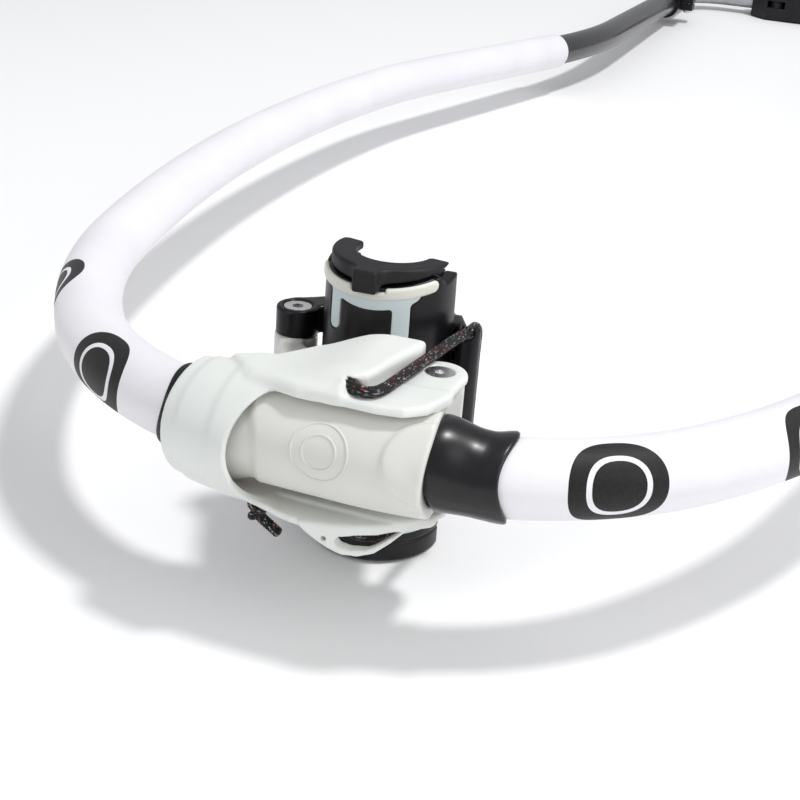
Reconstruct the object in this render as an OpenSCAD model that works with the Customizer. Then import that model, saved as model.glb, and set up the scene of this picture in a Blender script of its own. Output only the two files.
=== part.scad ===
// Windsurf boom: a wishbone of two curved arms, a clamp-on head that grips the
// mast, and a sliding tail extension. Millimetres. +Z runs up the mast, +Y runs
// back to the tail, and the origin is on the mast axis at the arms' mid-plane.

/* [Wishbone] */
// Outside diameter of the arm tube
tube_d = 29; // [27:0.5:32]
// Wall of the arm tube
tube_wall = 1.9; // [1.5:0.1:2.4]
// Distance from the mast axis forward to the front of the wishbone
front_reach = 79.5; // [76:0.5:90]
// Half length of the straight stretch at the front
front_half = 18; // [12:1:26]
// Radius of the tight front bend
bend1_r = 169; // [150:1:190]
// Angle of the tight front bend
bend1_angle = 53; // [48:1:56]
// Radius of the shoulder bend
bend2_r = 345; // [300:5:420]
// Radius of the long side curve
side_r = 1260; // [1100:10:1500]
// Angle that the arms run inwards behind the widest point
taper_angle = 16; // [12:1:18]
// Radius of the two easy bends ahead of the tail
tail_bend_r = 600; // [450:10:700]
// Length of the straight taper between those bends
taper_len = 200; // [120:5:260]
// Length of the parallel arm ends that the extension slides in
arm_end_len = 300; // [290:5:360]

/* [Grip] */
// Wall of the foam grip
grip_wall = 2.5; // [1.5:0.25:4]
// Distance along the tube from the front middle to the right grip
grip_start = 78; // [76:1:90]
// Distance along the tube from the front middle to the left grip, beside the lever's cuff
grip_start_left = 60; // [58:1:70]
// Length of the right grip along the tube; both grips end level
grip_len = 1010; // [600:10:1050]

/* [Head] */
// Outside diameter of the moulded barrel
barrel_d = 50; // [46:1:50]
// Length of the barrel on the side of the hinge
barrel_left = 46; // [40:1:48]
// Length of the barrel on the side of the lever pivot
barrel_right = 56; // [54:1:60]
// Half height of the saddle and of the pivot lug
saddle_half = 26.8; // [26:0.2:27]
// Distance of the lever pivot to the side of the mast axis
pivot_x = 42; // [40:0.5:44]
// Distance of the lever pivot ahead of the mast axis
pivot_y = 47; // [45:0.5:48]
// Diameter of the lever pivot pin
pivot_d = 9; // [7:0.5:10]
// Distance of the gate hinge to the side of the mast axis
hinge_x = 46; // [44:0.5:50]
// Diameter of the hinge bolt
hinge_d = 8; // [6:0.5:9]
// Outside diameter of the hinge knuckles
knuckle_d = 20; // [18:0.5:22]
// Half height of the head's hinge boss
boss_half = 13.8; // [11:0.2:15]

/* [Mast cup] */
// Diameter of the mast that the adapter takes
mast_d = 34; // [32:0.5:36]
// Diameter of the full-size mast that the cup takes with no adapter
cup_bore_d = 48; // [46:0.5:50]
// Wall of the cup's shell
cup_wall = 7; // [6:0.25:8]
// Depth of the cup below the mid-plane
cup_down = 80; // [76:1:84]
// Height of the cup's rim above the mid-plane
cup_up = 54.5; // [53:0.5:56]

/* [Lever] */
// Wall of the lever
lever_wall = 3.6; // [3:0.2:4.4]
// Clear gap between the barrel and the lever
lever_gap = 1.2; // [1:0.1:2]
// Reach of the lever's cuff to the side of the mast axis
cuff_reach = 62; // [60:1:66]
// Height of the wing above the lever's plate
wing_h = 10; // [8:0.5:12]
// Opening angle of the lever
lever_open = 120; // [90:5:125]

/* [Lashing] */
// Diameter of the braided cord
cord_d = 5; // [4.5:0.1:5.4]

/* [Tail] */
// Length of the extension inside each arm when pushed home
insert_len = 280; // [260:5:285]
// Distance from the arm ends to the extension's corners when pushed home
extension_out = 64; // [58:2:90]
// Radius of the extension's corners
corner_r = 60; // [50:2:80]
// Width of the tail fitting
fitting_w = 116; // [110:2:130]
// Diameter of the outhaul sheaves
sheave_d = 20; // [18:0.5:22]

/* [Hidden] */
// Clearance of a running fit, on the radius
run_fit = 0.06;
// Gap that keeps neighbouring pieces apart
gap = 0.3;
tube_r = tube_d / 2;
bore_r = tube_r - tube_wall;
grip_r = tube_r + grip_wall;
ext_r = bore_r - run_fit;
ext_wall = 1.6;
barrel_r = barrel_d / 2;
cup_in_r = cup_bore_d / 2;
cup_out_r = cup_in_r + cup_wall;
mast_r = mast_d / 2;
pivot = [pivot_x, -pivot_y, 0];
hinge = [-hinge_x, -1, 0];
knuckle_r = knuckle_d / 2;

// The arm's centreline: [bend radius, turn] for a bend, or [0, length] for a
// straight. A negative radius turns the other way.
bend2_angle = 21.5;
PATH = [
    [0, front_half],
    [bend1_r, bend1_angle],
    [bend2_r, bend2_angle],
    [side_r, 96 - bend1_angle - bend2_angle],
    [tail_bend_r, taper_angle - 6],
    [0, taper_len],
    [-tail_bend_r, taper_angle],
    [0, arm_end_len]
];
function seg_len(k) = PATH[k][0] == 0 ? PATH[k][1] : abs(PATH[k][0]) * PATH[k][1] * PI / 180;
function seg_turn(k) = PATH[k][0] == 0 ? 0 : sign(PATH[k][0]) * PATH[k][1];
function seg_s(k) = k == 0 ? 0 : seg_s(k - 1) + seg_len(k - 1);
function seg_head(k) = k == 0 ? 0 : seg_head(k - 1) + seg_turn(k - 1);
function advance(r, h, d, t) = r == 0
    ? d * [cos(h), sin(h)]
    : r * [sin(h + t) - sin(h), cos(h) - cos(h + t)];
function seg_pos(k) = k == 0
    ? [0, -front_reach]
    : seg_pos(k - 1) + advance(PATH[k - 1][0], seg_head(k - 1), seg_len(k - 1), seg_turn(k - 1));
function seg_at(s, k = 0) = k >= len(PATH) - 1 || s < seg_s(k + 1) ? k : seg_at(s, k + 1);
function part_turn(k, d) = PATH[k][0] == 0 ? 0 : d / PATH[k][0] * 180 / PI;
function head_at(s) = let (k = seg_at(s)) seg_head(k) + part_turn(k, s - seg_s(k));
function point_at(s) = let (k = seg_at(s), d = s - seg_s(k))
    seg_pos(k) + advance(PATH[k][0], seg_head(k), d, part_turn(k, d));

// Places and headings on either arm: a negative s is on the left
function place(s) = s < 0 ? [-point_at(-s)[0], point_at(-s)[1]] : point_at(s);
function heading(s) = s < 0 ? -head_at(-s) : head_at(s);

// Stations on the right arm between s0 and s1, closer together in tighter bends
turn_step = 4.6;
function seg_parts(k) = PATH[k][0] == 0 ? 1 : ceil(abs(seg_turn(k)) / turn_step);
function stations(s0, s1) = concat([s0],
    [for (k = [0:last_seg]) for (i = [0:seg_parts(k) - 1])
        let (s = seg_s(k) + seg_len(k) * i / seg_parts(k)) if (s > s0 + 4 && s < s1 - 4) s],
    [s1]);
function reversed(list) = [for (i = [len(list) - 1:-1:0]) list[i]];

last_seg = len(PATH) - 1;
arm_len = seg_s(last_seg + 1);
arm_end = seg_pos(last_seg + 1);
arm_x = arm_end[0];
arm_y = arm_end[1];

// Collar: its start on the barrel, its lip over the grip and its radii
collar_start = barrel_right + gap;
collar_left_start = barrel_left + gap;
collar_lip = 5;
collar_big_r = 21.6;
collar_mid_r = 18.4;
collar_lip_r = grip_r + 2;

// Lever: inside and outside of its channel, and its plates
lever_in = barrel_r + lever_gap;
lever_out = lever_in + lever_wall;
plate_in = saddle_half + 0.5;
plate_out = plate_in + lever_wall;
window_left = -27;
cord_r = cord_d / 2;
cord_z = plate_out + cord_r + gap;
slot_r = cord_r + 0.7;

// Gate: shell behind the mast and the post that holds the lashing
gate_in_r = cup_in_r + 2.3;
gate_out_r = cup_out_r + 0.6;
gate_half = 32;
pad_half = 30;
knuckle_half = 28;
post = [cup_out_r + 9, -4, 0];
post_r = 5.2;
post_half = 36.5;
notch_r = cord_r + 0.6;

// Clamp at each arm end
clamp_len = 34;
clamp_out_r = tube_r + 4;
clamp_over = 22;
ear_x = arm_x - clamp_out_r - 7;
bolt_r = 2.5;

// Tail fitting
ext_y = arm_y + extension_out + corner_r;
fitting_y0 = ext_y - 34;
sheave_y = fitting_y0 + 10;
fitting_y1 = ext_y + 24;
fitting_half = 19;
sheave_r = sheave_d / 2;
sheave_half = 4;
sheave_x = 24;
axle_r = 3;

// ---- helpers -------------------------------------------------------------

module ring(ro, ri) {
    difference() {
        circle(r = ro, $fn = 72);
        if (ri > 0) circle(r = ri, $fn = 72);
    }
}

// A tube of outer radius ro and bore ri along the arm, from s0 to s1
module run(ro, ri, s0, s1) {
    for (k = [0:last_seg]) {
        a = max(s0, seg_s(k)) - seg_s(k);
        b = min(s1, seg_s(k + 1)) - seg_s(k);
        r = PATH[k][0];
        h = seg_head(k);
        if (b - a > 0.01) translate([seg_pos(k)[0], seg_pos(k)[1], 0])
            if (r == 0)
                rotate([0, 0, h]) translate([a, 0, 0]) rotate([0, 90, 0])
                    linear_extrude(height = b - a) ring(ro, ri);
            else
                translate([-r * sin(h), r * cos(h), 0])
                    rotate([0, 0, r > 0 ? h + part_turn(k, a) - 90 : h + part_turn(k, b) + 90])
                        rotate_extrude(angle = abs(part_turn(k, b - a)), $fn = 180)
                            translate([abs(r), 0]) ring(ro, ri);
    }
}

module both_sides() {
    children();
    mirror([1, 0, 0]) children();
}

module both_ends() {
    children();
    mirror([0, 0, 1]) children();
}

module slab(z0, z1) {
    translate([0, 0, z0]) linear_extrude(height = z1 - z0) children();
}

module rod(r, z0, z1, fn = 64) {
    translate([0, 0, z0]) cylinder(r = r, h = z1 - z0, $fn = fn);
}

// A flat sector from angle a0 to a1, wide enough to cut the mast cup
module sector(r, a0, a1) {
    step = (a1 - a0) / 8;
    polygon(concat([[0, 0]], [for (i = [0:8]) r * [cos(a0 + i * step), sin(a0 + i * step)]]));
}

module arc_ring(ro, ri, a0, a1) {
    intersection() {
        ring(ro, ri);
        sector(ro * 1.2, a0, a1);
    }
}

// Rings of points on a route, joined into one closed sweep
function unit(v) = v / norm(v);
function tangent(p, i) = unit(p[min(i + 1, len(p) - 1)] - p[max(i - 1, 0)]);
function side_of(t) = unit(cross(t, abs(t[2]) < 0.8 ? [0, 0, 1] : [1, 0, 0]));
function frames(p) = [for (i = 0, s = side_of(tangent(p, 0)); i < len(p);
    i = i + 1, s = i < len(p) ? unit(s - (s * tangent(p, i)) * tangent(p, i)) : s)
    [p[i], s, cross(tangent(p, i), s)]];

module cord(p, r, n) {
    f = frames(p);
    pts = [for (i = [0:len(p) - 1]) for (j = [0:n - 1])
        f[i][0] + r * (cos(j * 360 / n) * f[i][1] + sin(j * 360 / n) * f[i][2])];
    walls = [for (i = [0:len(p) - 2]) for (j = [0:n - 1])
        [i * n + j, i * n + (j + 1) % n, (i + 1) * n + (j + 1) % n, (i + 1) * n + j]];
    polyhedron(pts, concat(walls,
        [[for (j = [n - 1:-1:0]) j]],
        [[for (j = [0:n - 1]) (len(p) - 1) * n + j]]));
}

// A closed skin turned round the arm: loop is its [s, radius] outline, outside
// first, and the inside is at 1 / cos(180 / n) so that its flats clear the bore
module sleeve(loop, n) {
    m = len(loop);
    pts = [for (q = loop) let (p = place(q[0]), h = heading(q[0])) for (j = [0:n - 1])
        let (c = q[1] * cos(j * 360 / n), z = q[1] * sin(j * 360 / n))
        [p[0] - c * sin(h), p[1] + c * cos(h), z]];
    polyhedron(pts, [for (i = [0:m - 1]) for (j = [0:n - 1])
        [i * n + j, ((i + 1) % m) * n + j, ((i + 1) % m) * n + (j + 1) % n, i * n + (j + 1) % n]]);
}

function bore(r, n) = r / cos(180 / n);

module pipe(list, ro, ri, n) {
    sleeve(concat([for (s = list) [s, ro]], [for (s = reversed(list)) [s, bore(ri, n)]]), n);
}

// ---- wishbone ------------------------------------------------------------

pipe_sides = 24;
collar_sides = 36;

module boom_tube() {
    right = stations(0, arm_len);
    left = [for (i = [len(right) - 1:-1:1]) -right[i]];
    color("#2b2c2f") pipe(concat(left, right), tube_r, bore_r, pipe_sides);
}

module grip(start) {
    pipe(stations(start, grip_start + grip_len), grip_r, tube_r, pipe_sides);
}

module grip_left() {
    color("#f1eff2") mirror([1, 0, 0]) grip(grip_start_left);
}

module grip_right() {
    color("#f1eff2") grip(grip_start);
}

// Rubber collar from its start on the barrel to its lip over the grip, which begins at seat
module collar(start, seat) {
    span = seat - start;
    lip = seat + collar_lip;
    sleeve(concat([[start, collar_big_r - 1], [start + 1.5, collar_big_r], [start + 0.35 * span, collar_big_r - 0.4],
        [start + 0.7 * span, collar_mid_r + 0.4], [start + 0.85 * span, collar_mid_r], [seat + 1, collar_lip_r],
        [lip, collar_lip_r]],
        [for (q = [[lip, grip_r], [seat - 0.2, grip_r], [seat - 0.2, tube_r], [start, tube_r]])
            [q[0], bore(q[1], collar_sides)]]), collar_sides);
}

module collar_left() {
    color("#141416") mirror([1, 0, 0]) collar(collar_left_start, grip_start_left);
}

module collar_right() {
    color("#141416") collar(collar_start, grip_start);
}

// ---- head ----------------------------------------------------------------

// Outline of the saddle between the barrel and the cup, seen from above
module saddle_outline() {
    polygon([[-30, -72], [-30, -44], [-24, -20], [26, -20], [34, -40], [46, -60], [46, -74]]);
    translate([pivot[0], pivot[1]]) circle(r = 11, $fn = 64);
    polygon([[pivot[0] - 11, pivot[1] - 4], [pivot[0] + 10, pivot[1] - 4], [49, -62], [49, -72], [30, -72]]);
}

// Arm of the head that carries the gate hinge
module hinge_outline() {
    translate([hinge[0], hinge[1]]) circle(r = knuckle_r, $fn = 64);
    polygon([[hinge[0] - knuckle_r, hinge[1]], [hinge[0] + 6, hinge[1] - 8], [-24, -22], [-20, -50], [-30, -50]]);
}

module head_body() {
    color("#dcdcd8") difference() {
        union() {
            run(barrel_r, 0, 0, barrel_right);
            mirror([1, 0, 0]) run(barrel_r, 0, 0, barrel_left);
            slab(-saddle_half, saddle_half) saddle_outline();
            slab(-boss_half, boss_half) hinge_outline();
        }
        both_sides() run(tube_r, 0, -1, barrel_right + 12);
        rod(cup_out_r, -cup_down, cup_up, 120);
        translate(pivot) rod(pivot_d / 2, -40, 40);
        translate(hinge) rod(hinge_d / 2, -40, 40);
    }
}

// Half shell that lies against the mast
cup_a0 = 175;
cup_a1 = 365;
trim_deep = 1.2;
stripe_w = 15.25;
stripe_in = 24.5;
// Height of the black wall below the white moulding, at the front and the rise per mm back
rim_front = 44.5;
rim_slope = 31;
foot_z = -66;

// Where the white moulding fills the cup, from z0 to z1 and from angle a0 to a1
module trim_band(z0, z1, a0, a1, depth, proud = 0) {
    slab(z0, z1) arc_ring(cup_out_r + proud, cup_out_r - depth, a0, a1);
}

module trim_shape(proud) {
    difference() {
        trim_band(rim_front, cup_up, 270 - 66, 270 + 64, trim_deep, proud);
        // the band's lower edge climbs towards the sides
        translate([0, -cup_out_r, rim_front]) rotate([rim_slope, 0, 0]) translate([-60, -20, -60]) cube([120, 120, 60]);
    }
    trim_band(cup_up - 2.5, cup_up, 270 - 66, 270 + 64, cup_wall, proud);
    trim_band(17, rim_front + 2, 270 - stripe_in - stripe_w, 270 - stripe_in, trim_deep, proud);
    trim_band(foot_z, rim_front + 2, 270 + stripe_in, 270 + stripe_in + stripe_w, trim_deep, proud);
    trim_band(foot_z, foot_z + 4, 270 + stripe_in + stripe_w, 270 + 66, trim_deep, proud);
}

tab_half = 6.5;
tab_reach = 35;
module tab_notch(clear) {
    translate([-tab_half - clear, -tab_reach - 1, cup_up - 1.5 - clear])
        cube([2 * (tab_half + clear), tab_reach - 20, 20]);
}

module mast_cup() {
    color("#17181a") difference() {
        slab(-cup_down, cup_up - 0.01) arc_ring(cup_out_r, cup_in_r, cup_a0, cup_a1);
        trim_shape(0.5);
        tab_notch(gap);
    }
}

module cup_trim() {
    color("#ecebe6") difference() {
        trim_shape(0);
        tab_notch(gap);
        translate([0, 0, -cup_down]) rod(cup_in_r, 0, 200, 120);
    }
}

flange_h = 7.7;
module mast_adapter() {
    flange_z = cup_up + gap;
    color("#1d1e20") difference() {
        union() {
            slab(-cup_down, flange_z) arc_ring(cup_in_r, mast_r, 170, 370);
            slab(flange_z, flange_z + flange_h) arc_ring(cup_in_r + 4, mast_r, 166, 374);
            intersection() {
                translate([0, 0, gap]) tab_notch(-gap);
                slab(cup_up - 1.5, flange_z + flange_h)
                    difference() {
                        circle(r = tab_reach, $fn = 96);
                        circle(r = cup_in_r, $fn = 72);
                    }
            }
        }
        rod(mast_r, -cup_down - 1, cup_up + 20, 120);
    }
}

// ---- lever ---------------------------------------------------------------

// Plan outline of the lever, from the cuff round to the pivot
module lever_outline() {
    polygon([[-cuff_reach, -73], [-cuff_reach, -103], [-cuff_reach + 5, -110], [-22, -110], [4, -105], [22, -98], [35, -89],
        [46, -74], [53, -58], [pivot[0] + 12, pivot[1]], [pivot[0], pivot[1] + 12], [32, -38],
        [-18, -36], [-42, -54]]);
    translate([pivot[0], pivot[1]]) circle(r = 12, $fn = 64);
}

// U-shaped section of the channel, swept along X
module channel(r, flat, x0, x1) {
    translate([x0, -front_reach, 0]) rotate([90, 0, 90]) linear_extrude(height = x1 - x0) {
        circle(r = r, $fn = 96);
        translate([0, -flat]) square([60, 2 * flat]);
    }
}

// The raised wing on each plate, stepping down beside the cord
module wing() {
    top = plate_out + wing_h;
    intersection() {
        slab(plate_in, top) polygon([[-40, -60], [-26, -88], [-2, -95], [11, -91], [15.5, -83.5], [22, -83.5],
            [26, -78], [27.5, -68], [29.5, -56], [31, -46], [31, -38], [20, -41], [5, -49], [-12, -58]]);
        rotate([90, 0, 90]) translate([0, 0, -45]) linear_extrude(height = 80)
            polygon([[-97, plate_in], [-95, plate_out], [-89, top - 4], [-84, top - 3], [-62, top - 2.5],
                [-46, top], [-37, top], [-37, plate_in]]);
        rotate([90, 0, 0]) translate([0, 0, 30]) linear_extrude(height = 68)
            polygon([[-40, plate_in], [-30, plate_in + 1.5], [-24, plate_out + 0.5], [-8, plate_out + 4], [5, top - 2.5],
                [20, top - 0.6], [32, top], [32, plate_in]]);
    }
}

// Lug under the lower plate, with the slot that shows the cord
lug_h = 12.5;
slot_half = 2.6;
slot_len = 13;
module lug() {
    difference() {
        intersection() {
            slab(-plate_out - lug_h, -plate_in) polygon([[2, -96], [20, -91], [33, -84], [48, -66], [45, -62],
                [31, -80], [18, -86.5], [2, -90]]);
            rotate([90, 0, 0]) linear_extrude(height = 120) polygon([[4, -plate_in], [14, -plate_out - 4],
                [24, -plate_out - lug_h + 1], [29, -plate_out - lug_h], [34, -plate_out - lug_h + 2],
                [46, -plate_out - 1], [48, -plate_in]]);
        }
        translate([20, -60, -cord_z - 2.8]) rotate([90, 0, 0]) linear_extrude(height = 60) {
            circle(r = slot_half, $fn = 48);
            translate([0, -slot_half]) square([slot_len, 2 * slot_half]);
            translate([slot_len, 0]) circle(r = slot_half, $fn = 48);
        }
        translate([11, -60, -cord_z + 1]) rotate([90, 0, 0]) cylinder(r = 1.3, h = 60, $fn = 32);
    }
}

module lever() {
    color("#e4e5e0") difference() {
        union() {
            intersection() {
                difference() {
                    channel(lever_out, plate_out, -cuff_reach, 56);
                    channel(lever_in, plate_in, -cuff_reach - 1, 57);
                }
                slab(-plate_out, plate_out) lever_outline();
            }
            both_ends() wing();
            lug();
        }
        // window that shows the barrel
        rotate([90, 0, 0]) translate([0, 0, front_reach + 2]) linear_extrude(height = 40) {
            translate([window_left + 18, 0]) circle(r = 18, $fn = 96);
            polygon([[window_left + 9, -15.6], [8, -plate_in], [60, -plate_in], [60, plate_in], [8, plate_in],
                [window_left + 9, 15.6]]);
        }
        // pockets and holes for the cord
        translate([-1, -74.8, cord_z]) rotate([0, 90, -30.4]) cylinder(r = slot_r, h = 25, $fn = 48);
        translate([-2, -76, -cord_z]) rotate([0, 90, 0]) cylinder(r = slot_r, h = 18, $fn = 48);
        translate([6, -78, -cord_z - 1.5]) rotate([0, 90, 0]) cylinder(r = slot_r + 1.5, h = 11, $fn = 48);
        translate([14, -79, -cord_z - 3]) rotate([0, 90, 0]) cylinder(r = slot_r + 1.5, h = 17, $fn = 48);
        translate([-40, -76, -cord_z]) rotate([0, 90, 0]) cylinder(r = slot_r, h = 40, $fn = 48);
        translate([-44, -76, -cord_z - 1]) rotate([0, 90, 0]) cylinder(r = slot_r + 1.5, h = 36, $fn = 48);
        translate(pivot) rod(pivot_d / 2 + run_fit, -40, 40);
        both_ends() translate(pivot) rod(6.4, plate_out - 2, plate_out + 5);
    }
}

module pivot_pin() {
    color("#b9bcc0") translate(pivot) difference() {
        rod(pivot_d / 2, -(plate_out - 2), plate_out - 2);
        rod(2.5, -40, 40);
    }
}

module pivot_screws() {
    color("#c9ccd0") both_ends() translate(pivot) difference() {
        union() {
            rod(6, plate_out - 2, plate_out - 0.3);
            rod(2.5, 14, plate_out - 2);
        }
        rod(2.3, plate_out - 1.6, plate_out + 1, 6);
    }
}

// ---- gate ----------------------------------------------------------------

module knuckle_outline() {
    translate([hinge[0], hinge[1]]) circle(r = knuckle_r, $fn = 64);
    polygon([[hinge[0] - 6, hinge[1] + 8], [-31, 24], [-22, 22], [-26, 8], [hinge[0] + 9, hinge[1] + 4]]);
}

module gate() {
    color("#1a1b1d") difference() {
        union() {
            slab(-gate_half, gate_half) arc_ring(gate_out_r, gate_in_r, 11, 167);
            both_ends() slab(boss_half + 0.4, knuckle_half) knuckle_outline();
            translate(post) rod(post_r, -post_half, post_half);
            // web from the shell's edge to the post, clear of the cup
            slab(-gate_half, gate_half) polygon([[gate_out_r - 2.6, 10], [gate_in_r, 14], [gate_out_r - 3.6, 20],
                [post[0] - 1, post[1] + 4], [post[0] - 1, post[1] - 4], [cup_out_r + 4, post[1] - 2], [cup_out_r + 3, 4]]);
        }
        rod(gate_in_r, -60, 60, 96);
        translate(hinge) rod(hinge_d / 2 + run_fit, -40, 40);
        translate(hinge) rod(6.9, knuckle_half - 8, 40);
        translate(hinge) rod(7.9, -40, -knuckle_half + 6.5);
        // open notches that the cord hooks into
        both_ends() translate([post[0], post[1] - 12, cord_z + 0.4]) {
            rotate([-90, 0, 0]) cylinder(r = notch_r, h = 40, $fn = 48);
            translate([-notch_r, 0, 0]) cube([2 * notch_r, 24, 20]);
        }
    }
}

module gate_pad() {
    color("#0e0e10") slab(-pad_half, pad_half) arc_ring(gate_in_r, mast_r, 25, 155);
}

module hinge_bolt() {
    color("#c9ccd0") translate(hinge) difference() {
        union() {
            rod(hinge_d / 2, -knuckle_half + 0.5, knuckle_half - 7.9);
            rod(6.5, knuckle_half - 7.9, knuckle_half - 0.6);
        }
        rod(2.85, knuckle_half - 5, knuckle_half + 1, 6);
    }
}

module hinge_nut() {
    color("#c9ccd0") translate(hinge) difference() {
        rod(7.5, -knuckle_half + 0.5, -knuckle_half + 6.4, 6);
        rod(hinge_d / 2, -40, 0);
    }
}

// ---- lashing -------------------------------------------------------------

// Half of the cord that hooks round the gate's post, above the mid-plane
upper_route = [[1, -76, 0], [8, -80.1, 0], [15.5, -84.5, 0], [20, -87.2, 0], [24.8, -88.6, 0], [28.8, -86.6, 0],
    [30.8, -81.4, 0], [31.6, -75, 0], [32.4, -67, 0], [33.6, -56, 0], [34.8, -45, 0], [36, -34, 0.1],
    [37.4, -23, 0.5], [38.9, -13.5, 0.7], [40, -8, 0.7]];
back_route = [[40, -8, 0.7], [40.6, -3, 0.7], [40.6, 1.3, 0.4], [40.6, 4.8, -2.4], [40.6, 5.3, -7],
    [40.6, 4.9, -13], [40.6, 4.9, -20], [40.6, 4.9, -27]];
lower_route = [[1, -76, 0], [6, -76, 0], [12.5, -77.6, 1.6], [19, -79.5, 3], [25, -79, 3.4], [31, -75, 3.2],
    [35.5, -66, 2.8], [37.6, -54, 2.2], [38, -43, 1.6], [38.2, -33, 1.1], [38.6, -23, 0.8], [39.4, -13, 0.7], [40, -8, 0.7]];
tail_route = [[1, -76, 0], [-5, -76, 0], [-11, -76, -0.4], [-16.5, -76.2, -1.6], [-22, -76.4, -2.6],
    [-26.6, -75.8, -4.4], [-27.6, -75, -7.8], [-24.4, -75, -10.6], [-20, -75, -13.4], [-15.6, -75, -16.2]];

function lifted(route) = [for (p = route) p + [0, 0, cord_z]];
function flipped(route) = [for (p = route) [p[0], p[1], -p[2]]];
function lowered(route) = [for (p = route) p - [0, 0, cord_z]];

module lashing_upper() {
    color("#1b1a1c") cord(lifted(upper_route), cord_r, 10);
}

module lashing_back() {
    top = lifted(back_route);
    color("#1b1a1c") cord(concat(top, reversed(flipped(top))), cord_r, 10);
}

module lashing_lower() {
    color("#1b1a1c") cord(flipped(lifted(lower_route)), cord_r, 10);
}

module lashing_tail() {
    color("#1b1a1c") cord(lowered(tail_route), cord_r, 10);
}

// ---- clamps at the arm ends ----------------------------------------------

ear_top = 8.5;
slit = 1.2;
cam_z = ear_top + 6.3;
clamp_y0 = arm_y - clamp_over;
bolt_y = arm_y + 4;
cam_r = 6;
cam_pin_r = 3;
cam_half = 6.5;
cam_len = 46;

module clamp_collar() {
    difference() {
        union() {
            translate([arm_x, clamp_y0, 0]) rotate([-90, 0, 0]) cylinder(r = clamp_out_r, h = clamp_len, $fn = 72);
            translate([ear_x - 7, bolt_y - 8, -ear_top]) cube([arm_x - ear_x, 16, 2 * ear_top]);
        }
        translate([arm_x, clamp_y0 - 1, 0]) rotate([-90, 0, 0]) cylinder(r = tube_r, h = clamp_over + 1, $fn = 72);
        translate([arm_x, arm_y - 1, 0]) rotate([-90, 0, 0]) cylinder(r = ext_r + run_fit, h = 40, $fn = 72);
        translate([ear_x - 20, arm_y - 14, -slit / 2]) cube([arm_x - ear_x + 12, 60, slit]);
        translate([ear_x, bolt_y, 0]) rod(bolt_r, -40, 40);
    }
}

module clamp_bolt() {
    translate([ear_x, bolt_y, 0]) {
        rod(bolt_r, -ear_top, cam_z + cam_pin_r + 0.5);
        rod(5, -ear_top - 3.4, -ear_top, 6);
    }
}

module cam_pin() {
    difference() {
        translate([ear_x - cam_half, bolt_y, cam_z]) rotate([0, 90, 0]) cylinder(r = cam_pin_r, h = 2 * cam_half, $fn = 48);
        translate([ear_x, bolt_y, 0]) rod(bolt_r, 0, cam_z + 10);
    }
}

module cam_lever() {
    translate([0, bolt_y, cam_z]) difference() {
        union() {
            translate([ear_x - cam_half, 0, 0]) rotate([0, 90, 0]) cylinder(r = cam_r, h = 2 * cam_half, $fn = 64);
            translate([ear_x - cam_half, -cam_len, -0.5]) cube([2 * cam_half, cam_len, 5.5]);
            translate([ear_x - cam_half, -cam_len, 2.25]) rotate([0, 90, 0])
                cylinder(r = 2.75, h = 2 * cam_half, $fn = 48);
        }
        translate([ear_x - cam_half - 1, 0, 0]) rotate([0, 90, 0])
            cylinder(r = cam_pin_r + run_fit, h = 2 * cam_half + 2, $fn = 64);
        translate([ear_x - bolt_r - 0.5, -10, -10]) cube([2 * bolt_r + 1, 20, 20]);
    }
}

module clamp_collar_left() { color("#1a1b1d") mirror([1, 0, 0]) clamp_collar(); }
module clamp_collar_right() { color("#1a1b1d") clamp_collar(); }
module clamp_bolt_left() { color("#c9ccd0") mirror([1, 0, 0]) clamp_bolt(); }
module clamp_bolt_right() { color("#c9ccd0") clamp_bolt(); }
module cam_lever_left() { color("#e4e5e0") mirror([1, 0, 0]) cam_lever(); }
module cam_lever_right() { color("#e4e5e0") cam_lever(); }
module cam_pin_left() { color("#b9bcc0") mirror([1, 0, 0]) cam_pin(); }
module cam_pin_right() { color("#b9bcc0") cam_pin(); }

// ---- extension and tail fitting ------------------------------------------

module ext_half(ro, ri) {
    leg = insert_len + extension_out;
    translate([arm_x, arm_y - insert_len, 0]) rotate([-90, 0, 0]) linear_extrude(height = leg) ring(ro, ri);
    translate([arm_x - corner_r, arm_y + extension_out, 0])
        rotate_extrude(angle = 90, $fn = 180) translate([corner_r, 0]) ring(ro, ri);
    translate([0, ext_y, 0]) rotate([0, 90, 0]) linear_extrude(height = arm_x - corner_r) ring(ro, ri);
}

module extension_tube() {
    color("#34363a") both_sides() ext_half(ext_r, ext_r - ext_wall);
}

module fitting_outline() {
    polygon([[-fitting_w / 2, ext_y - 16], [-36, fitting_y0], [36, fitting_y0], [fitting_w / 2, ext_y - 16],
        [fitting_w / 2, ext_y + 16], [36, fitting_y1], [-36, fitting_y1], [-fitting_w / 2, ext_y + 16]]);
}

module tail_fitting() {
    color("#1a1b1d") difference() {
        slab(-fitting_half, fitting_half) fitting_outline();
        translate([-100, ext_y, 0]) rotate([0, 90, 0]) cylinder(r = ext_r, h = 200, $fn = 72);
        for (side = [-1, 1]) translate([side * sheave_x, sheave_y, 0]) {
            rod(sheave_r + 1.5, -sheave_half - 0.5, sheave_half + 0.5);
            translate([-sheave_r - 1.5, -30, -sheave_half - 0.5]) cube([2 * sheave_r + 3, 30, 2 * sheave_half + 1]);
            rod(axle_r, -60, 60);
        }
        for (side = [-1, 1]) translate([side * 46 - 5, ext_y - 30, fitting_half - 4]) cube([10, 60, 10]);
    }
}

module sheave(side) {
    translate([side * sheave_x, sheave_y, 0]) difference() {
        rotate_extrude($fn = 96) difference() {
            translate([axle_r + run_fit, -sheave_half]) square([sheave_r - axle_r - run_fit, 2 * sheave_half]);
            translate([sheave_r + 1.2, 0]) circle(r = 4, $fn = 48);
        }
    }
}

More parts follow.
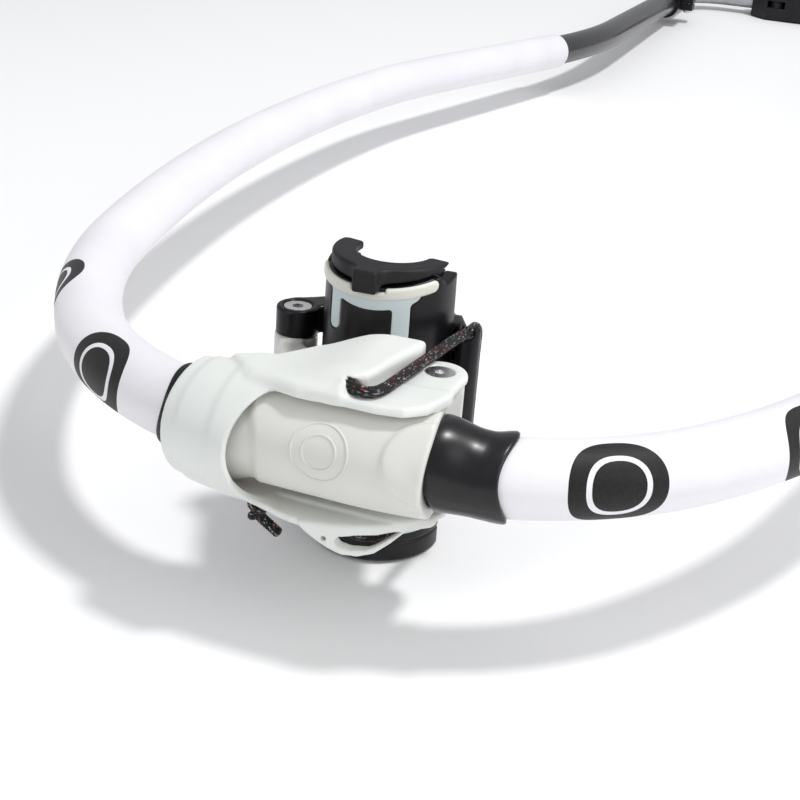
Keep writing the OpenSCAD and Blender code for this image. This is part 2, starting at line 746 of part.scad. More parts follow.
module sheave_axle(side) {
    translate([side * sheave_x, sheave_y, 0]) rod(axle_r, -fitting_half, fitting_half);
}

module jam_cleat(side) {
    translate([side * 46, ext_y, fitting_half - 4]) difference() {
        translate([-5, -13, 0]) cube([10, 26, 8]);
        translate([0, -20, 8.5]) rotate([-90, 0, 0]) cylinder(r = 4.2, h = 40, $fn = 3);
    }
}

module sheave_left() { color("#e4e5e0") sheave(-1); }
module sheave_right() { color("#e4e5e0") sheave(1); }
module sheave_axle_left() { color("#c9ccd0") sheave_axle(-1); }
module sheave_axle_right() { color("#c9ccd0") sheave_axle(1); }
module jam_cleat_left() { color("#8d9094") jam_cleat(-1); }
module jam_cleat_right() { color("#8d9094") jam_cleat(1); }

boom_tube();
grip_left();
grip_right();
collar_left();
collar_right();
head_body();
mast_cup();
cup_trim();
mast_adapter();
lever();
pivot_pin();
pivot_screws();
gate();
gate_pad();
hinge_bolt();
hinge_nut();
lashing_upper();
lashing_back();
lashing_lower();
lashing_tail();
clamp_collar_left();
clamp_collar_right();
clamp_bolt_left();
clamp_bolt_right();
cam_lever_left();
cam_lever_right();
cam_pin_left();
cam_pin_right();
extension_tube();
tail_fitting();
sheave_left();
sheave_right();
sheave_axle_left();
sheave_axle_right();
jam_cleat_left();
jam_cleat_right();
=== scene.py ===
"""A windsurf boom: white foam grips on a wishbone, a lever-locked head that holds the mast, and a
sliding tail. Shapes are worked out in millimetres in the frame's own axes (+Z up the mast, +Y to
the tail, origin on the mast axis) and become metres when each mesh is made.

Three kinds of surface are used: sleeves turned round the curved arm, cords carried along a route,
and skins, which are the zero surface of a signed distance made of blended rounded solids."""

import math

import bmesh
import bpy
import numpy as np
from mathutils import Matrix, Vector


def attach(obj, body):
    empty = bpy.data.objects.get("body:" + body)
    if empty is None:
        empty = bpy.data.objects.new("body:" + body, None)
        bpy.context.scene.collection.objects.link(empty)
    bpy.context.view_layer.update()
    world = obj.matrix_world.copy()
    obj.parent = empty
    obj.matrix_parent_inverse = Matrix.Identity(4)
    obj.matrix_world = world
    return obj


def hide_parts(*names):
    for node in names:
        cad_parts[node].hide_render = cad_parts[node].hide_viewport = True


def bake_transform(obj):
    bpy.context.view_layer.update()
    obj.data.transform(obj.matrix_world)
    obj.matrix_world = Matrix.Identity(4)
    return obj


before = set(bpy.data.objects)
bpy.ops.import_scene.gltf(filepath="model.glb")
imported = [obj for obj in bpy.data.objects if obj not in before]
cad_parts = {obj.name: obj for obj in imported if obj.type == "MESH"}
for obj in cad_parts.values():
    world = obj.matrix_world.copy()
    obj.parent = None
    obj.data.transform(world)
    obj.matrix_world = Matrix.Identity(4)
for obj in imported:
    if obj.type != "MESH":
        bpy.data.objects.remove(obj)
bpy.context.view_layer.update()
MM = 0.001

# ---- sizes ---------------------------------------------------------------
# Most are the frame's. The barrel, the cuff, the right grip's start, the cup's top and the adapter's top
# differ from it by a few millimetres.

FRONT_REACH = 79.5
STRETCHES = [(0, 18), (169, 53), (345, 21.5), (1260, 21.5), (600, 10), (0, 200), (-600, 16), (0, 300)]
TUBE_R = 14.5
TUBE_WALL = 1.9
GRIP_R = 17.0
GRIP_START = {1: 73.5, -1: 60.0}
GRIP_END = 1088.0
BARREL_R = 23.2
BARREL_RISE = 3.0
BARREL_LEFT = 46.0
BARREL_RIGHT = 52.8
BARREL_SADDLE = 1.5
SADDLE_HALF = 26.8
BOSS_HALF = 13.8
PIVOT = (42.0, -47.0)
PIVOT_BORE_R = 4.5
LUG_R = 11.0
HINGE = (-46.0, -1.0)
HINGE_BORE_R = 4.0
KNUCKLE_R = 10.0
KNUCKLE_HALF = 28.0
MAST_R = 17.0
CUP_IN = 24.0
CUP_OUT = 31.0
CUP_BOTTOM = -80.0
CUP_FRONT_TOP = 54.3
CUP_TOP_RISE = 0.17
CUP_TOP_TILT = 0.045
CUP_PAST_RIM_DROP = 4.0
RIM_LEFT = -72.0
RIM_RIGHT = 63.0
ADAPTER_TOP = 63.4
PLATE_IN = 27.3
PLATE_OUT = 30.9
LEVER_OUT = 29.8
LEVER_WALL = 3.6
CUFF_REACH = 55.3
WING_HEIGHT = 10.0
CORD_R = 2.5
CORD_Z = 33.7
GATE_IN = 26.3
GATE_OUT = 31.6
GATE_HALF = 32.0
PAD_HALF = 30.0
POST = (40.0, -4.0)
POST_R = 5.2
POST_HALF = 36.5
SIDES = {-1: "left", 1: "right"}


# ---- camera, floor and light ---------------------------------------------


def make_camera():
    """The view from the front right, above: yaw and pitch set the axis, and roll turns the frame."""
    yaw, pitch, roll = (math.radians(a) for a in (20.14, 24.34, 4.38))
    ahead = Vector((-math.sin(yaw) * math.cos(pitch), math.cos(yaw) * math.cos(pitch), -math.sin(pitch)))
    level = ahead.cross(Vector((0, 0, 1))).normalized()
    up = level.cross(ahead)
    right = math.cos(roll) * level + math.sin(roll) * up
    top = math.cos(roll) * up - math.sin(roll) * level
    camera = bpy.data.objects.new("camera", bpy.data.cameras.new("camera"))
    camera.data.lens = 63.63
    camera.data.sensor_width = 36
    camera.data.clip_start = 0.02
    camera.matrix_world = Matrix.Translation((0.2153, -0.5654, 0.2634)) @ Matrix(
        (right, top, -ahead)
    ).transposed().to_4x4()
    bpy.context.scene.collection.objects.link(camera)
    bpy.context.scene.camera = camera


def make_floor():
    """The floor touches the mast cup's rear edge and the tail fitting, so it is tilted a little about X."""
    tilt = math.radians(2.37)
    bpy.ops.mesh.primitive_plane_add(size=24)
    floor = bpy.context.object
    floor.name = "studio_floor"
    floor.data.transform(Matrix.Rotation(tilt, 4, "X"))
    floor.data.transform(Matrix.Translation((0, 0.005, CUP_BOTTOM * MM)))
    floor.data.materials.append(studio_white())


def area_light(name, place, aim, size, power, colour=(1, 1, 1)):
    light = bpy.data.lights.new(name, "AREA")
    light.shape = "DISK"
    light.size = size
    light.energy = power
    light.color = colour
    lamp = bpy.data.objects.new(name, light)
    lamp.location = place
    lamp.rotation_euler = (Vector(aim) - Vector(place)).to_track_quat("-Z", "Y").to_euler()
    bpy.context.scene.collection.objects.link(lamp)


def make_lights():
    world = bpy.data.worlds.new("studio")
    world.use_nodes = True
    world.node_tree.nodes["Background"].inputs["Color"].default_value = (0.97, 0.98, 1.0, 1)
    world.node_tree.nodes["Background"].inputs["Strength"].default_value = 0.5
    bpy.context.scene.world = world
    bpy.context.scene.view_settings.view_transform = "Standard"
    area_light("overhead", (1.16, 0.5, 3.4), (0.02, 0.2, 0), 0.5, 72)
    area_light("window_right", (1.3, -0.25, 0.75), (0.05, -0.05, 0), 1.1, 7)
    area_light("front_fill", (-0.9, -1.6, 1.1), (0, 0, 0), 1.2, 6)


# ---- materials -----------------------------------------------------------


def start_material(name, roughness, **sockets):
    """A new material with its shader's constant sockets set by name."""
    material = bpy.data.materials.new(name)
    material.use_nodes = True
    shader = material.node_tree.nodes["Principled BSDF"]
    shader.inputs["Roughness"].default_value = roughness
    for socket, value in sockets.items():
        shader.inputs[socket.replace("_", " ")].default_value = value
    return material, material.node_tree, shader


def add_node(tree, kind, links=(), **values):
    """Adds a node, sets its input values by name, and links (output, input name) pairs into it."""
    node = tree.nodes.new(kind)
    for name, value in values.items():
        if hasattr(node, name):
            setattr(node, name, value)
        else:
            node.inputs[name.replace("_", " ")].default_value = value
    for output, name in links:
        tree.links.new(output, node.inputs[name])
    return node


def object_place(tree):
    return add_node(tree, "ShaderNodeTexCoord").outputs["Object"]


def noise(tree, place, scale, detail=3.0, roughness=0.55):
    node = add_node(tree, "ShaderNodeTexNoise", [(place, "Vector")], Scale=scale, Detail=detail)
    node.inputs["Roughness"].default_value = roughness
    return node.outputs["Fac"]


def ramp(tree, factor, stops):
    """A colour ramp of (position, colour) stops; a colour is three linear values."""
    node = tree.nodes.new("ShaderNodeValToRGB")
    while len(node.color_ramp.elements) < len(stops):
        node.color_ramp.elements.new(0.5)
    for element, (position, colour) in zip(node.color_ramp.elements, stops):
        element.position = position
        element.color = (*colour, 1)
    tree.links.new(factor, node.inputs["Fac"])
    return node.outputs["Color"]


def math_node(tree, operation, a, b=None):
    node = tree.nodes.new("ShaderNodeMath")
    node.operation = operation
    for socket, value in zip(node.inputs, (a, b)):
        if value is None:
            continue
        if isinstance(value, (int, float)):
            socket.default_value = value
        else:
            tree.links.new(value, socket)
    return node.outputs[0]


def feed(tree, shader, **outputs):
    """Links outputs to the shader's sockets, named with underscores for spaces."""
    for socket, output in outputs.items():
        tree.links.new(output, shader.inputs[socket.replace("_", " ")])


def spread(tree, factor, low, high):
    """The factor, 0 to 1, carried to low to high: for roughness that varies over a surface."""
    node = add_node(tree, "ShaderNodeMapRange", [(factor, "Value")])
    node.inputs["To Min"].default_value = low
    node.inputs["To Max"].default_value = high
    return node.outputs["Result"]


def bump(tree, shader, heights):
    """Chains bump nodes for (height, strength, distance in mm) and gives the last to the shader."""
    normal = None
    for height, strength, depth in heights:
        node = add_node(tree, "ShaderNodeBump", [(height, "Height")], Strength=strength, Distance=depth * MM)
        if normal is not None:
            tree.links.new(normal, node.inputs["Normal"])
        normal = node.outputs["Normal"]
    tree.links.new(normal, shader.inputs["Normal"])


def moulded(name, dark, light, roughness, grain=900.0, grain_depth=0.03, **sockets):
    """Moulded plastic: a slow drift of tone, a fine grain, and roughness that varies where it is handled."""
    material, tree, shader = start_material(name, roughness, **sockets)
    place = object_place(tree)
    drift = noise(tree, place, 24.0)
    fine = noise(tree, place, grain, 2.0)
    feed(tree, shader, Base_Color=ramp(tree, drift, [(0.3, dark), (0.7, light)]),
         Roughness=spread(tree, noise(tree, place, 60.0), roughness - 0.06, roughness + 0.08))
    bump(tree, shader, [(fine, 0.35, grain_depth)])
    return material


def studio_white():
    material, tree, shader = start_material("studio_white", 0.9, Specular_IOR_Level=0.1)
    shade = noise(tree, object_place(tree), 0.8)
    feed(tree, shader, Base_Color=ramp(tree, shade, [(0.2, (0.93, 0.93, 0.935)), (0.8, (0.95, 0.95, 0.95))]))
    return material


def foam_white():
    """Closed-cell foam: fine open grain under a soft sheen, with the black hand patches. The surface
    attribute patch_radius is the distance from the nearest patch's middle."""
    material, tree, shader = start_material("foam_white", 0.78, Sheen_Weight=0.08, Sheen_Roughness=0.5,
                                            Specular_IOR_Level=0.3)
    place = object_place(tree)
    drift = noise(tree, place, 14.0, 4.0)
    foam = ramp(tree, drift, [(0.25, (0.775, 0.765, 0.81)), (0.75, (0.85, 0.845, 0.875))])
    ink = ramp(tree, noise(tree, place, 700.0), [(0.3, (0.003, 0.003, 0.004)), (0.75, (0.012, 0.011, 0.012))])
    attribute = add_node(tree, "ShaderNodeAttribute", attribute_name="patch_radius").outputs["Fac"]
    inside = math_node(tree, "LESS_THAN", attribute, 1.0)
    ring = math_node(tree, "COMPARE", attribute, 0.6)
    ring.node.inputs[2].default_value = 0.055
    mask = math_node(tree, "MULTIPLY", inside, math_node(tree, "SUBTRACT", 1.0, ring))
    mix = add_node(tree, "ShaderNodeMix", data_type="RGBA")
    tree.links.new(mask, mix.inputs["Factor"])
    tree.links.new(foam, mix.inputs[6])
    tree.links.new(ink, mix.inputs[7])
    feed(tree, shader, Base_Color=mix.outputs[2], Roughness=spread(tree, mask, 0.78, 0.55))
    cells = add_node(tree, "ShaderNodeTexVoronoi", [(place, "Vector")], Scale=1500.0).outputs["Distance"]
    bump(tree, shader, [(cells, 0.25, 0.06), (noise(tree, place, 260.0), 0.25, 0.12)])
    return material


def gloss_rubber():
    """Stretched black rubber: glossy, with slow ripples along it and a film of handling marks."""
    material, tree, shader = start_material("gloss_rubber", 0.3, Coat_Weight=0.12, Coat_Roughness=0.2,
                                            Specular_IOR_Level=0.35)
    place = object_place(tree)
    film = noise(tree, place, 55.0, 5.0, 0.65)
    black = ramp(tree, film, [(0.3, (0.003, 0.003, 0.004)), (0.8, (0.009, 0.009, 0.011))])
    feed(tree, shader, Base_Color=black, Roughness=spread(tree, film, 0.2, 0.42))
    ripples, marks = noise(tree, place, 120.0, 2.0), noise(tree, place, 1500.0)
    bump(tree, shader, [(ripples, 0.12, 0.25), (marks, 0.15, 0.02)])
    return material


def machined(name, dark, light, roughness, along=(1, 1, 1)):
    """Bare metal: fine tool lines stretched across the turning direction and slight tarnish."""
    material, tree, shader = start_material(name, roughness, Metallic=1.0)
    place = object_place(tree)
    turned = add_node(tree, "ShaderNodeMapping", [(place, "Vector")], Scale=along)
    lines = noise(tree, turned.outputs["Vector"], 1400.0, 2.0)
    feed(tree, shader, Base_Color=ramp(tree, noise(tree, place, 70.0), [(0.3, dark), (0.75, light)]),
         Roughness=spread(tree, lines, roughness - 0.08, roughness + 0.1))
    bump(tree, shader, [(lines, 0.3, 0.015)])
    return material


def braided_cord():
    """Black polyester braid with stray coloured yarns. UV counts the two families of strands, so each
    whole cell of it is one visible crossing, and gets its own yarn colour."""
    material, tree, shader = start_material("braided_cord", 0.62, Sheen_Weight=0.06, Specular_IOR_Level=0.25)
    strands = add_node(tree, "ShaderNodeUVMap", uv_map="strands").outputs["UV"]
    cell = tree.nodes.new("ShaderNodeVectorMath")
    cell.operation = "FLOOR"
    tree.links.new(strands, cell.inputs[0])
    pick = add_node(tree, "ShaderNodeTexWhiteNoise", [(cell.outputs[0], "Vector")], noise_dimensions="2D")
    stops = [(0.0, (0.006, 0.006, 0.007)), (0.45, (0.016, 0.015, 0.016)), (0.84, (0.16, 0.17, 0.19)),
             (0.9, (0.3, 0.03, 0.015)), (0.945, (0.02, 0.09, 0.05)), (0.97, (0.36, 0.35, 0.33))]
    colour = ramp(tree, pick.outputs["Value"], stops)
    colour.node.color_ramp.interpolation = "CONSTANT"
    feed(tree, shader, Base_Color=colour)
    bump(tree, shader, [(noise(tree, object_place(tree), 2600.0), 0.4, 0.05)])
    return material


def woven_carbon():
    """Satin tube laid up from a twill weave: diagonal waves crossing on the tube's own UV."""
    material, tree, shader = start_material("woven_carbon", 0.34, Coat_Weight=0.4, Coat_Roughness=0.15)
    skin_uv = add_node(tree, "ShaderNodeUVMap", uv_map="sleeve").outputs["UV"]
    wave = add_node(tree, "ShaderNodeTexWave", [(skin_uv, "Vector")], Scale=120.0, Distortion=0.0)
    wave.bands_direction = "DIAGONAL"
    weave = ramp(tree, wave.outputs["Fac"], [(0.3, (0.008, 0.008, 0.009)), (0.7, (0.03, 0.031, 0.034))])
    feed(tree, shader, Base_Color=weave)
    bump(tree, shader, [(wave.outputs["Fac"], 0.12, 0.08)])
    return material


# ---- meshes --------------------------------------------------------------


def make_piece(name, points, faces, material, corners=None, uv_name="", weld=False):
    """A smooth-shaded mesh from points in millimetres, with corners as the UV of every face corner."""
    mesh = bpy.data.meshes.new(name)
    mesh.from_pydata(np.asarray(points) * MM, [], faces)
    if corners is not None:
        layer = mesh.uv_layers.new(name=uv_name)
        layer.data.foreach_set("uv", np.asarray(corners, np.float32).ravel())
    if weld:
        work = bmesh.new()
        work.from_mesh(mesh)
        bmesh.ops.remove_doubles(work, verts=work.verts, dist=1e-6)
        bmesh.ops.dissolve_degenerate(work, edges=work.edges, dist=1e-7)
        work.to_mesh(mesh)
        work.free()
    mesh.shade_smooth()
    mesh.materials.append(material)
    piece = bpy.data.objects.new(name, mesh)
    bpy.context.scene.collection.objects.link(piece)
    return piece


def place_piece(piece, body, *nodes):
    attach(piece, body)
    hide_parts(*nodes)


def grid_faces(rows, columns, close_rows):
    """Quads of a grid whose columns close on themselves, and its rows too if close_rows. Also the
    (row, column) of every face corner, counted without wrapping, for a UV map."""
    row, column = np.meshgrid(np.arange(rows if close_rows else rows - 1), np.arange(columns), indexing="ij")
    steps = [(0, 0), (0, 1), (1, 1), (1, 0)]
    index = np.stack([((row + i) % rows) * columns + (column + j) % columns for i, j in steps], -1)
    place = np.stack([np.stack([row + i, column + j], -1) for i, j in steps], -2)
    return index.reshape(-1, 4), place.reshape(-1, 2)


def smoothstep(t):
    t = np.clip(t, 0, 1)
    return t * t * (3 - 2 * t)


def unit(vectors):
    return vectors / np.linalg.norm(vectors, axis=1, keepdims=True)


def full_turn(count):
    return np.linspace(0, 2 * np.pi, count, endpoint=False)


# ---- the arm's line ------------------------------------------------------


def arm_line(s):
    """Point and heading on the right arm at distance s from the front middle. Each stretch turns at
    its own rate, so the point is the closed-form integral of the heading along it."""
    s = np.asarray(s, float)
    x, y, h = 0.0, -FRONT_REACH, 0.0
    start = 0.0
    points = np.zeros((*s.shape, 3))
    for radius, turn in STRETCHES:
        length = turn if radius == 0 else abs(radius) * math.radians(turn)
        here = s >= start
        d = s - start
        if radius == 0:
            px, py, ph = x + d * math.cos(h), y + d * math.sin(h), h + 0 * d
            x, y = x + length * math.cos(h), y + length * math.sin(h)
        else:
            ph = h + d / radius
            px = x + radius * (np.sin(ph) - math.sin(h))
            py = y + radius * (math.cos(h) - np.cos(ph))
            end = h + length / radius
            x, y = x + radius * (math.sin(end) - math.sin(h)), y + radius * (math.cos(h) - math.cos(end))
            h = end
        points = np.where(here[..., None], np.stack([px, py, ph], -1), points)
        start += length
    return points


def arm_place(s, side):
    """Points, and the unit vectors across the arm towards the mast, on the right (1) or left (-1) arm."""
    line = arm_line(s)
    centre = np.stack([side * line[..., 0], line[..., 1], 0 * line[..., 0]], -1)
    across = np.stack([-side * np.sin(line[..., 2]), np.cos(line[..., 2]), 0 * line[..., 0]], -1)
    return centre, across


def arm_near_front(x, y):
    """Distance along the front of the wishbone (negative on the left) and across it, towards the
    mast, of points near the head: straight in the middle, then the tight bend's circle."""
    side = np.sign(x)
    out = np.abs(x) - STRETCHES[0][1]
    bend = STRETCHES[1][0]
    centre_y = bend - FRONT_REACH
    straight = out <= 0
    angle = np.arctan2(np.maximum(out, 0), centre_y - y)
    along = np.where(straight, np.abs(x), STRETCHES[0][1] + bend * angle)
    across = np.where(straight, y + FRONT_REACH, bend - np.hypot(np.maximum(out, 0), centre_y - y))
    return side * along, across


SADDLE_TURN = math.radians(156)


def arm_sleeve(outline, side, sides, saddle=(0.0, 0.0), lean=0.0, rise=0.0):
    """A closed skin turned round the arm: outline is its (distance, radius) loop, outside first. Its
    rings are saddles, distance - a cos(2t) - b sin(t), where t is the angle from the saddle's low side:
    a goes from the first saddle to the last and b from 0 to the lean. The rise lifts the first ring."""
    s, r = np.asarray(outline, float).T
    turn = full_turn(sides)
    share = (s - s.min()) / (s.max() - s.min())
    bent = np.outer(saddle[0] + (saddle[1] - saddle[0]) * share, np.cos(2 * (turn - SADDLE_TURN)))
    bent = bent + np.outer(lean * share, np.sin(turn - SADDLE_TURN))
    centre, across = arm_place(s[:, None] - bent, side)
    points = centre + (r[:, None] * np.cos(turn))[..., None] * across
    raised = np.where(r > GRIP_R + 0.5, rise * (1 - smoothstep(share / 0.8)), 0)
    points[..., 2] = r[:, None] * np.sin(turn) + raised[:, None]
    faces, place = grid_faces(len(s), sides, True)
    if side > 0:
        faces, place = faces[:, ::-1], place.reshape(-1, 4, 2)[:, ::-1].reshape(-1, 2)
    length = np.append(s, s[0])
    uv = np.stack([length[place[:, 0]] * MM, place[:, 1] / sides * 2 * np.pi * r.max() * MM], -1)
    return points.reshape(-1, 3), faces, uv


def rounded_pipe(start, end, outer, inner, step, round_r):
    """Outline loop of a pipe with rounded outer rims, for arm_sleeve."""
    turn = np.radians([0, 22, 45, 68, 90])
    near = np.stack([start + round_r * (1 - np.sin(turn)), outer - round_r * (1 - np.cos(turn))], -1)[::-1]
    far = np.stack([end - round_r * (1 - np.sin(turn)), outer - round_r * (1 - np.cos(turn))], -1)
    middle = np.arange(start + round_r + step, end - round_r - step / 2, step)
    wall = np.stack([middle, np.full_like(middle, outer)], -1)
    back = np.arange(end, start, -4 * step)
    bore = np.stack([back, np.full_like(back, inner)], -1)
    return np.concatenate([near, wall, far, bore, [[start, inner]]])


# ---- solids as signed distances ------------------------------------------


def join(a, b, blend):
    """Smooth union: the lesser distance, lowered where the two are within blend of each other."""
    h = np.clip(0.5 + 0.5 * (b - a) / blend, 0, 1)
    return b * (1 - h) + a * h - blend * h * (1 - h)


def meet(a, b, blend):
    return -join(-a, -b, blend)


def cut(a, b, blend):
    return -join(-a, b, blend)


def outline_distance(x, y, corners):
    """Signed distance to a closed polygon in the plane, negative inside: the nearest edge's distance,
    with its sign from how many edges a ray to the right crosses."""
    corners = np.asarray(corners, float)
    nearest = np.full(np.broadcast(x, y).shape, 1e9)
    inside = np.zeros(nearest.shape, bool)
    for (ax, ay), (bx, by) in zip(corners, np.roll(corners, -1, 0)):
        dx, dy = bx - ax, by - ay
        t = np.clip(((x - ax) * dx + (y - ay) * dy) / (dx * dx + dy * dy), 0, 1)
        nearest = np.minimum(nearest, np.hypot(x - ax - t * dx, y - ay - t * dy))
        if dy != 0:
            inside ^= ((ay > y) != (by > y)) & (x < ax + (y - ay) * dx / dy)
    return np.where(inside, -nearest, nearest)


def rod_distance(x, y, z, start, end, radius):
    """Signed distance to a round-ended rod between two points."""
    ax, ay, az = start
    dx, dy, dz = (b - a for a, b in zip(start, end))
    t = np.clip(((x - ax) * dx + (y - ay) * dy + (z - az) * dz) / (dx * dx + dy * dy + dz * dz), 0, 1)
    return np.sqrt((x - ax - t * dx) ** 2 + (y - ay - t * dy) ** 2 + (z - az - t * dz) ** 2) - radius


def skin(solid, low, high, step):
    """Points and outward quads of the surface where solid(x, y, z) is zero, negative inside. Each grid
    cell that the surface crosses gets one point, the mean of the crossings on its edges, and each grid
    edge that it crosses gets the quad of its four cells. Newton steps, p - f(p) grad f / |grad f|^2,
    then put the points on the surface itself. Where the solid reaches past low or high, the skin is open."""
    step = np.broadcast_to(np.asarray(step, float), 3)
    axes = [np.arange(a, b + d, d) for a, b, d in zip(low, high, step)]
    open_grid = np.meshgrid(*axes, indexing="ij", sparse=True)
    shape = tuple(len(a) for a in axes)
    f = np.broadcast_to(solid(*open_grid), shape)
    inside = f < 0
    cells = tuple(n - 1 for n in shape)
    total = np.zeros((*cells, 3))
    count = np.zeros(cells)
    crossings = []
    for axis in range(3):
        lower, upper = [slice(None)] * 3, [slice(None)] * 3
        lower[axis], upper[axis] = slice(None, -1), slice(1, None)
        fa, fb = f[tuple(lower)], f[tuple(upper)]
        crosses = inside[tuple(lower)] != inside[tuple(upper)]
        share = np.where(crosses, fa / np.where(crosses, fa - fb, 1), 0)
        crossings.append((crosses, inside[tuple(lower)]))
        u, v = (axis + 1) % 3, (axis + 2) % 3
        for du in (0, 1):
            for dv in (0, 1):
                pick = [slice(None)] * 3
                pick[u], pick[v] = slice(du, du + cells[u]), slice(dv, dv + cells[v])
                hit = crosses[tuple(pick)]
                count += hit
                for k in range(3):
                    place = np.broadcast_to(open_grid[k], shape)[tuple(lower)][tuple(pick)]
                    along = share[tuple(pick)] * step[axis] if k == axis else 0
                    total[..., k] += np.where(hit, place + along, 0)
    used = count > 0
    number = np.full(cells, -1)
    number[used] = np.arange(used.sum())
    points = total[used] / count[used][:, None]
    faces = []
    for axis, (crosses, starts_inside) in enumerate(crossings):
        u, v = (axis + 1) % 3, (axis + 2) % 3
        inner = [slice(None)] * 3
        inner[u], inner[v] = slice(1, -1), slice(1, -1)
        hit = crosses[tuple(inner)]
        i = np.stack(np.nonzero(hit), -1)
        quad = []
        for du, dv in ((0, 0), (1, 0), (1, 1), (0, 1)):
            offset = np.zeros(3, int)
            offset[u], offset[v] = du, dv
            quad.append(number[tuple((i + offset).T)])
        quad = np.stack(quad, -1)
        flip = ~starts_inside[tuple(inner)][hit]
        quad[flip] = quad[flip][:, ::-1]
        faces.append(quad)
    reach = 0.6 * step.min()
    for _ in range(3):
        value = solid(*points.T)
        slope = np.stack([
            (solid(*(points + d).T) - solid(*(points - d).T)) / 0.1 for d in 0.05 * np.eye(3)
        ], -1)
        move = value[:, None] * slope / np.maximum((slope ** 2).sum(-1, keepdims=True), 0.2)
        length = np.linalg.norm(move, axis=-1, keepdims=True)
        points = points - move * np.minimum(1, reach / np.maximum(length, 1e-9))
    return points, np.concatenate(faces)


# ---- cords ---------------------------------------------------------------


def smooth_route(points, step):
    """Points every step along a Catmull-Rom curve through the given ones."""
    p = np.asarray(points, float)
    p = np.concatenate([[2 * p[0] - p[1]], p, [2 * p[-1] - p[-2]]])
    fine = []
    for a, b, c, d in zip(p, p[1:], p[2:], p[3:]):
        t = np.linspace(0, 1, 40, endpoint=False)[:, None]
        bend, twist = 2 * a - 5 * b + 4 * c - d, 3 * b - a - 3 * c + d
        fine.append(0.5 * (2 * b + (c - a) * t + bend * t ** 2 + twist * t ** 3))
    fine = np.concatenate([*fine, [p[-2]]])
    length = np.concatenate([[0], np.cumsum(np.linalg.norm(np.diff(fine, axis=0), axis=1))])
    s = np.linspace(0, length[-1], max(8, int(length[-1] / step)))
    return np.stack([np.interp(s, length, fine[:, k]) for k in range(3)], -1), s


STRANDS = 12
CROSSING = 1.5


def braid(route, reference, radius=CORD_R):
    """A braided cord: a tube round the route whose radius rises at each crossing of the two families of
    strands, cos(p) cos(q) with p and q = strands x angle +- distance. Its ends round off to a point.
    The reference vector, never along the route, keeps the rings from twisting."""
    line, s = smooth_route(route, 0.3)
    ahead = unit(np.gradient(line, axis=0))
    side = unit(np.cross(ahead, reference))
    other = np.cross(ahead, side)
    columns = 96
    turn = np.arange(columns) / columns * 2 * np.pi
    p = STRANDS * turn + s[:, None] / CROSSING * np.pi
    q = STRANDS * turn - s[:, None] / CROSSING * np.pi
    from_end = np.minimum(s, s[-1] - s)
    ending = np.sqrt(np.clip(1 - (1 - np.clip(from_end / 1.6, 0, 1)) ** 2, 0, 1))
    r = (radius * ending)[:, None] * (0.94 + 0.06 * np.cos(p) * np.cos(q))
    spoke = np.cos(turn)[:, None] * side[:, None] + np.sin(turn)[:, None] * other[:, None]
    points = line[:, None] + r[..., None] * spoke
    faces, place = grid_faces(len(s), columns, False)
    angle = place[:, 1] / columns * 2 * np.pi
    along = s[place[:, 0]] / CROSSING * np.pi
    strands = np.stack([STRANDS * angle + along, STRANDS * angle - along], -1) / np.pi
    return points.reshape(-1, 3), faces, strands


def lifted(route):
    return [(x, y, CORD_Z + dz) for x, y, dz in route]


def dropped(route):
    return [(x, y, -CORD_Z - dz) for x, y, dz in route]


UPPER_ROUTE = [(1, -76, 0), (8, -80.1, 0), (15.5, -84.5, 0), (20, -87.2, 0), (24.8, -88.6, 0),
               (28.8, -86.6, 0), (30.8, -81.4, 0), (31.6, -75, 0), (32.4, -67, 0), (33.6, -56, 0),
               (34.8, -45, 0), (36, -34, 0.1), (37.4, -23, 0.5), (38.9, -13.5, 0.7), (40, -8, 0.7)]
BACK_ROUTE = [(40, -8, 0.7), (40.6, -3, 0.7), (40.6, 1.3, 0.4), (40.6, 4.8, -2.4), (40.6, 5.3, -7),
              (40.6, 4.9, -13), (40.6, 4.9, -20), (40.6, 4.9, -27)]
LOWER_ROUTE = [(1, -76, 0), (6, -76, 0), (12.5, -77.6, 1.6), (19, -79.5, 3), (25, -79, 3.4), (31, -75, 3.2),
               (35.5, -66, 2.8), (37.6, -54, 2.2), (38, -43, 1.6), (38.2, -33, 1.1), (38.6, -23, 0.8),
               (39.4, -13, 0.7), (40, -8, 0.7)]
TAIL_ROUTE = [(1, -76, 0), (-5, -76, 0), (-11, -76, 0.4), (-16.5, -76.2, 1.6), (-22, -76.4, 2.6),
              (-26.6, -75.8, 4.4), (-27.6, -75, 7.8), (-24.4, -75, 10.6), (-20, -75, 13.4),
              (-15.6, -75, 16.2)]


def make_knot(cord):
    """The tail's stopper knot: two and a quarter close turns of the same cord round the tail's bend, each
    point at the tail's line + r (side cos t + up sin t), with r sinking into the tail at both ends."""
    line, s = smooth_route(dropped(TAIL_ROUTE), 0.3)
    share = np.linspace(0, 1, 60)
    place = np.stack([np.interp(26.5 + 8.5 * share, s, line[:, k]) for k in range(3)], -1)
    ahead = unit(np.gradient(place, axis=0))
    side = np.tile([0.0, 1.0, 0.0], (60, 1))
    up = np.cross(ahead, side)
    turn = share * 4.5 * np.pi
    reach = 3.1 * np.sin(np.pi * np.clip(share, 0.06, 0.94)) ** 0.35
    wraps = place + reach[:, None] * (np.cos(turn)[:, None] * side + np.sin(turn)[:, None] * up)
    points, faces, strands = braid(wraps[::3], (0.31, 0.2, 0.93), 1.9)
    return make_piece("lashing_knot", points, faces, cord, strands, "strands", weld=True)


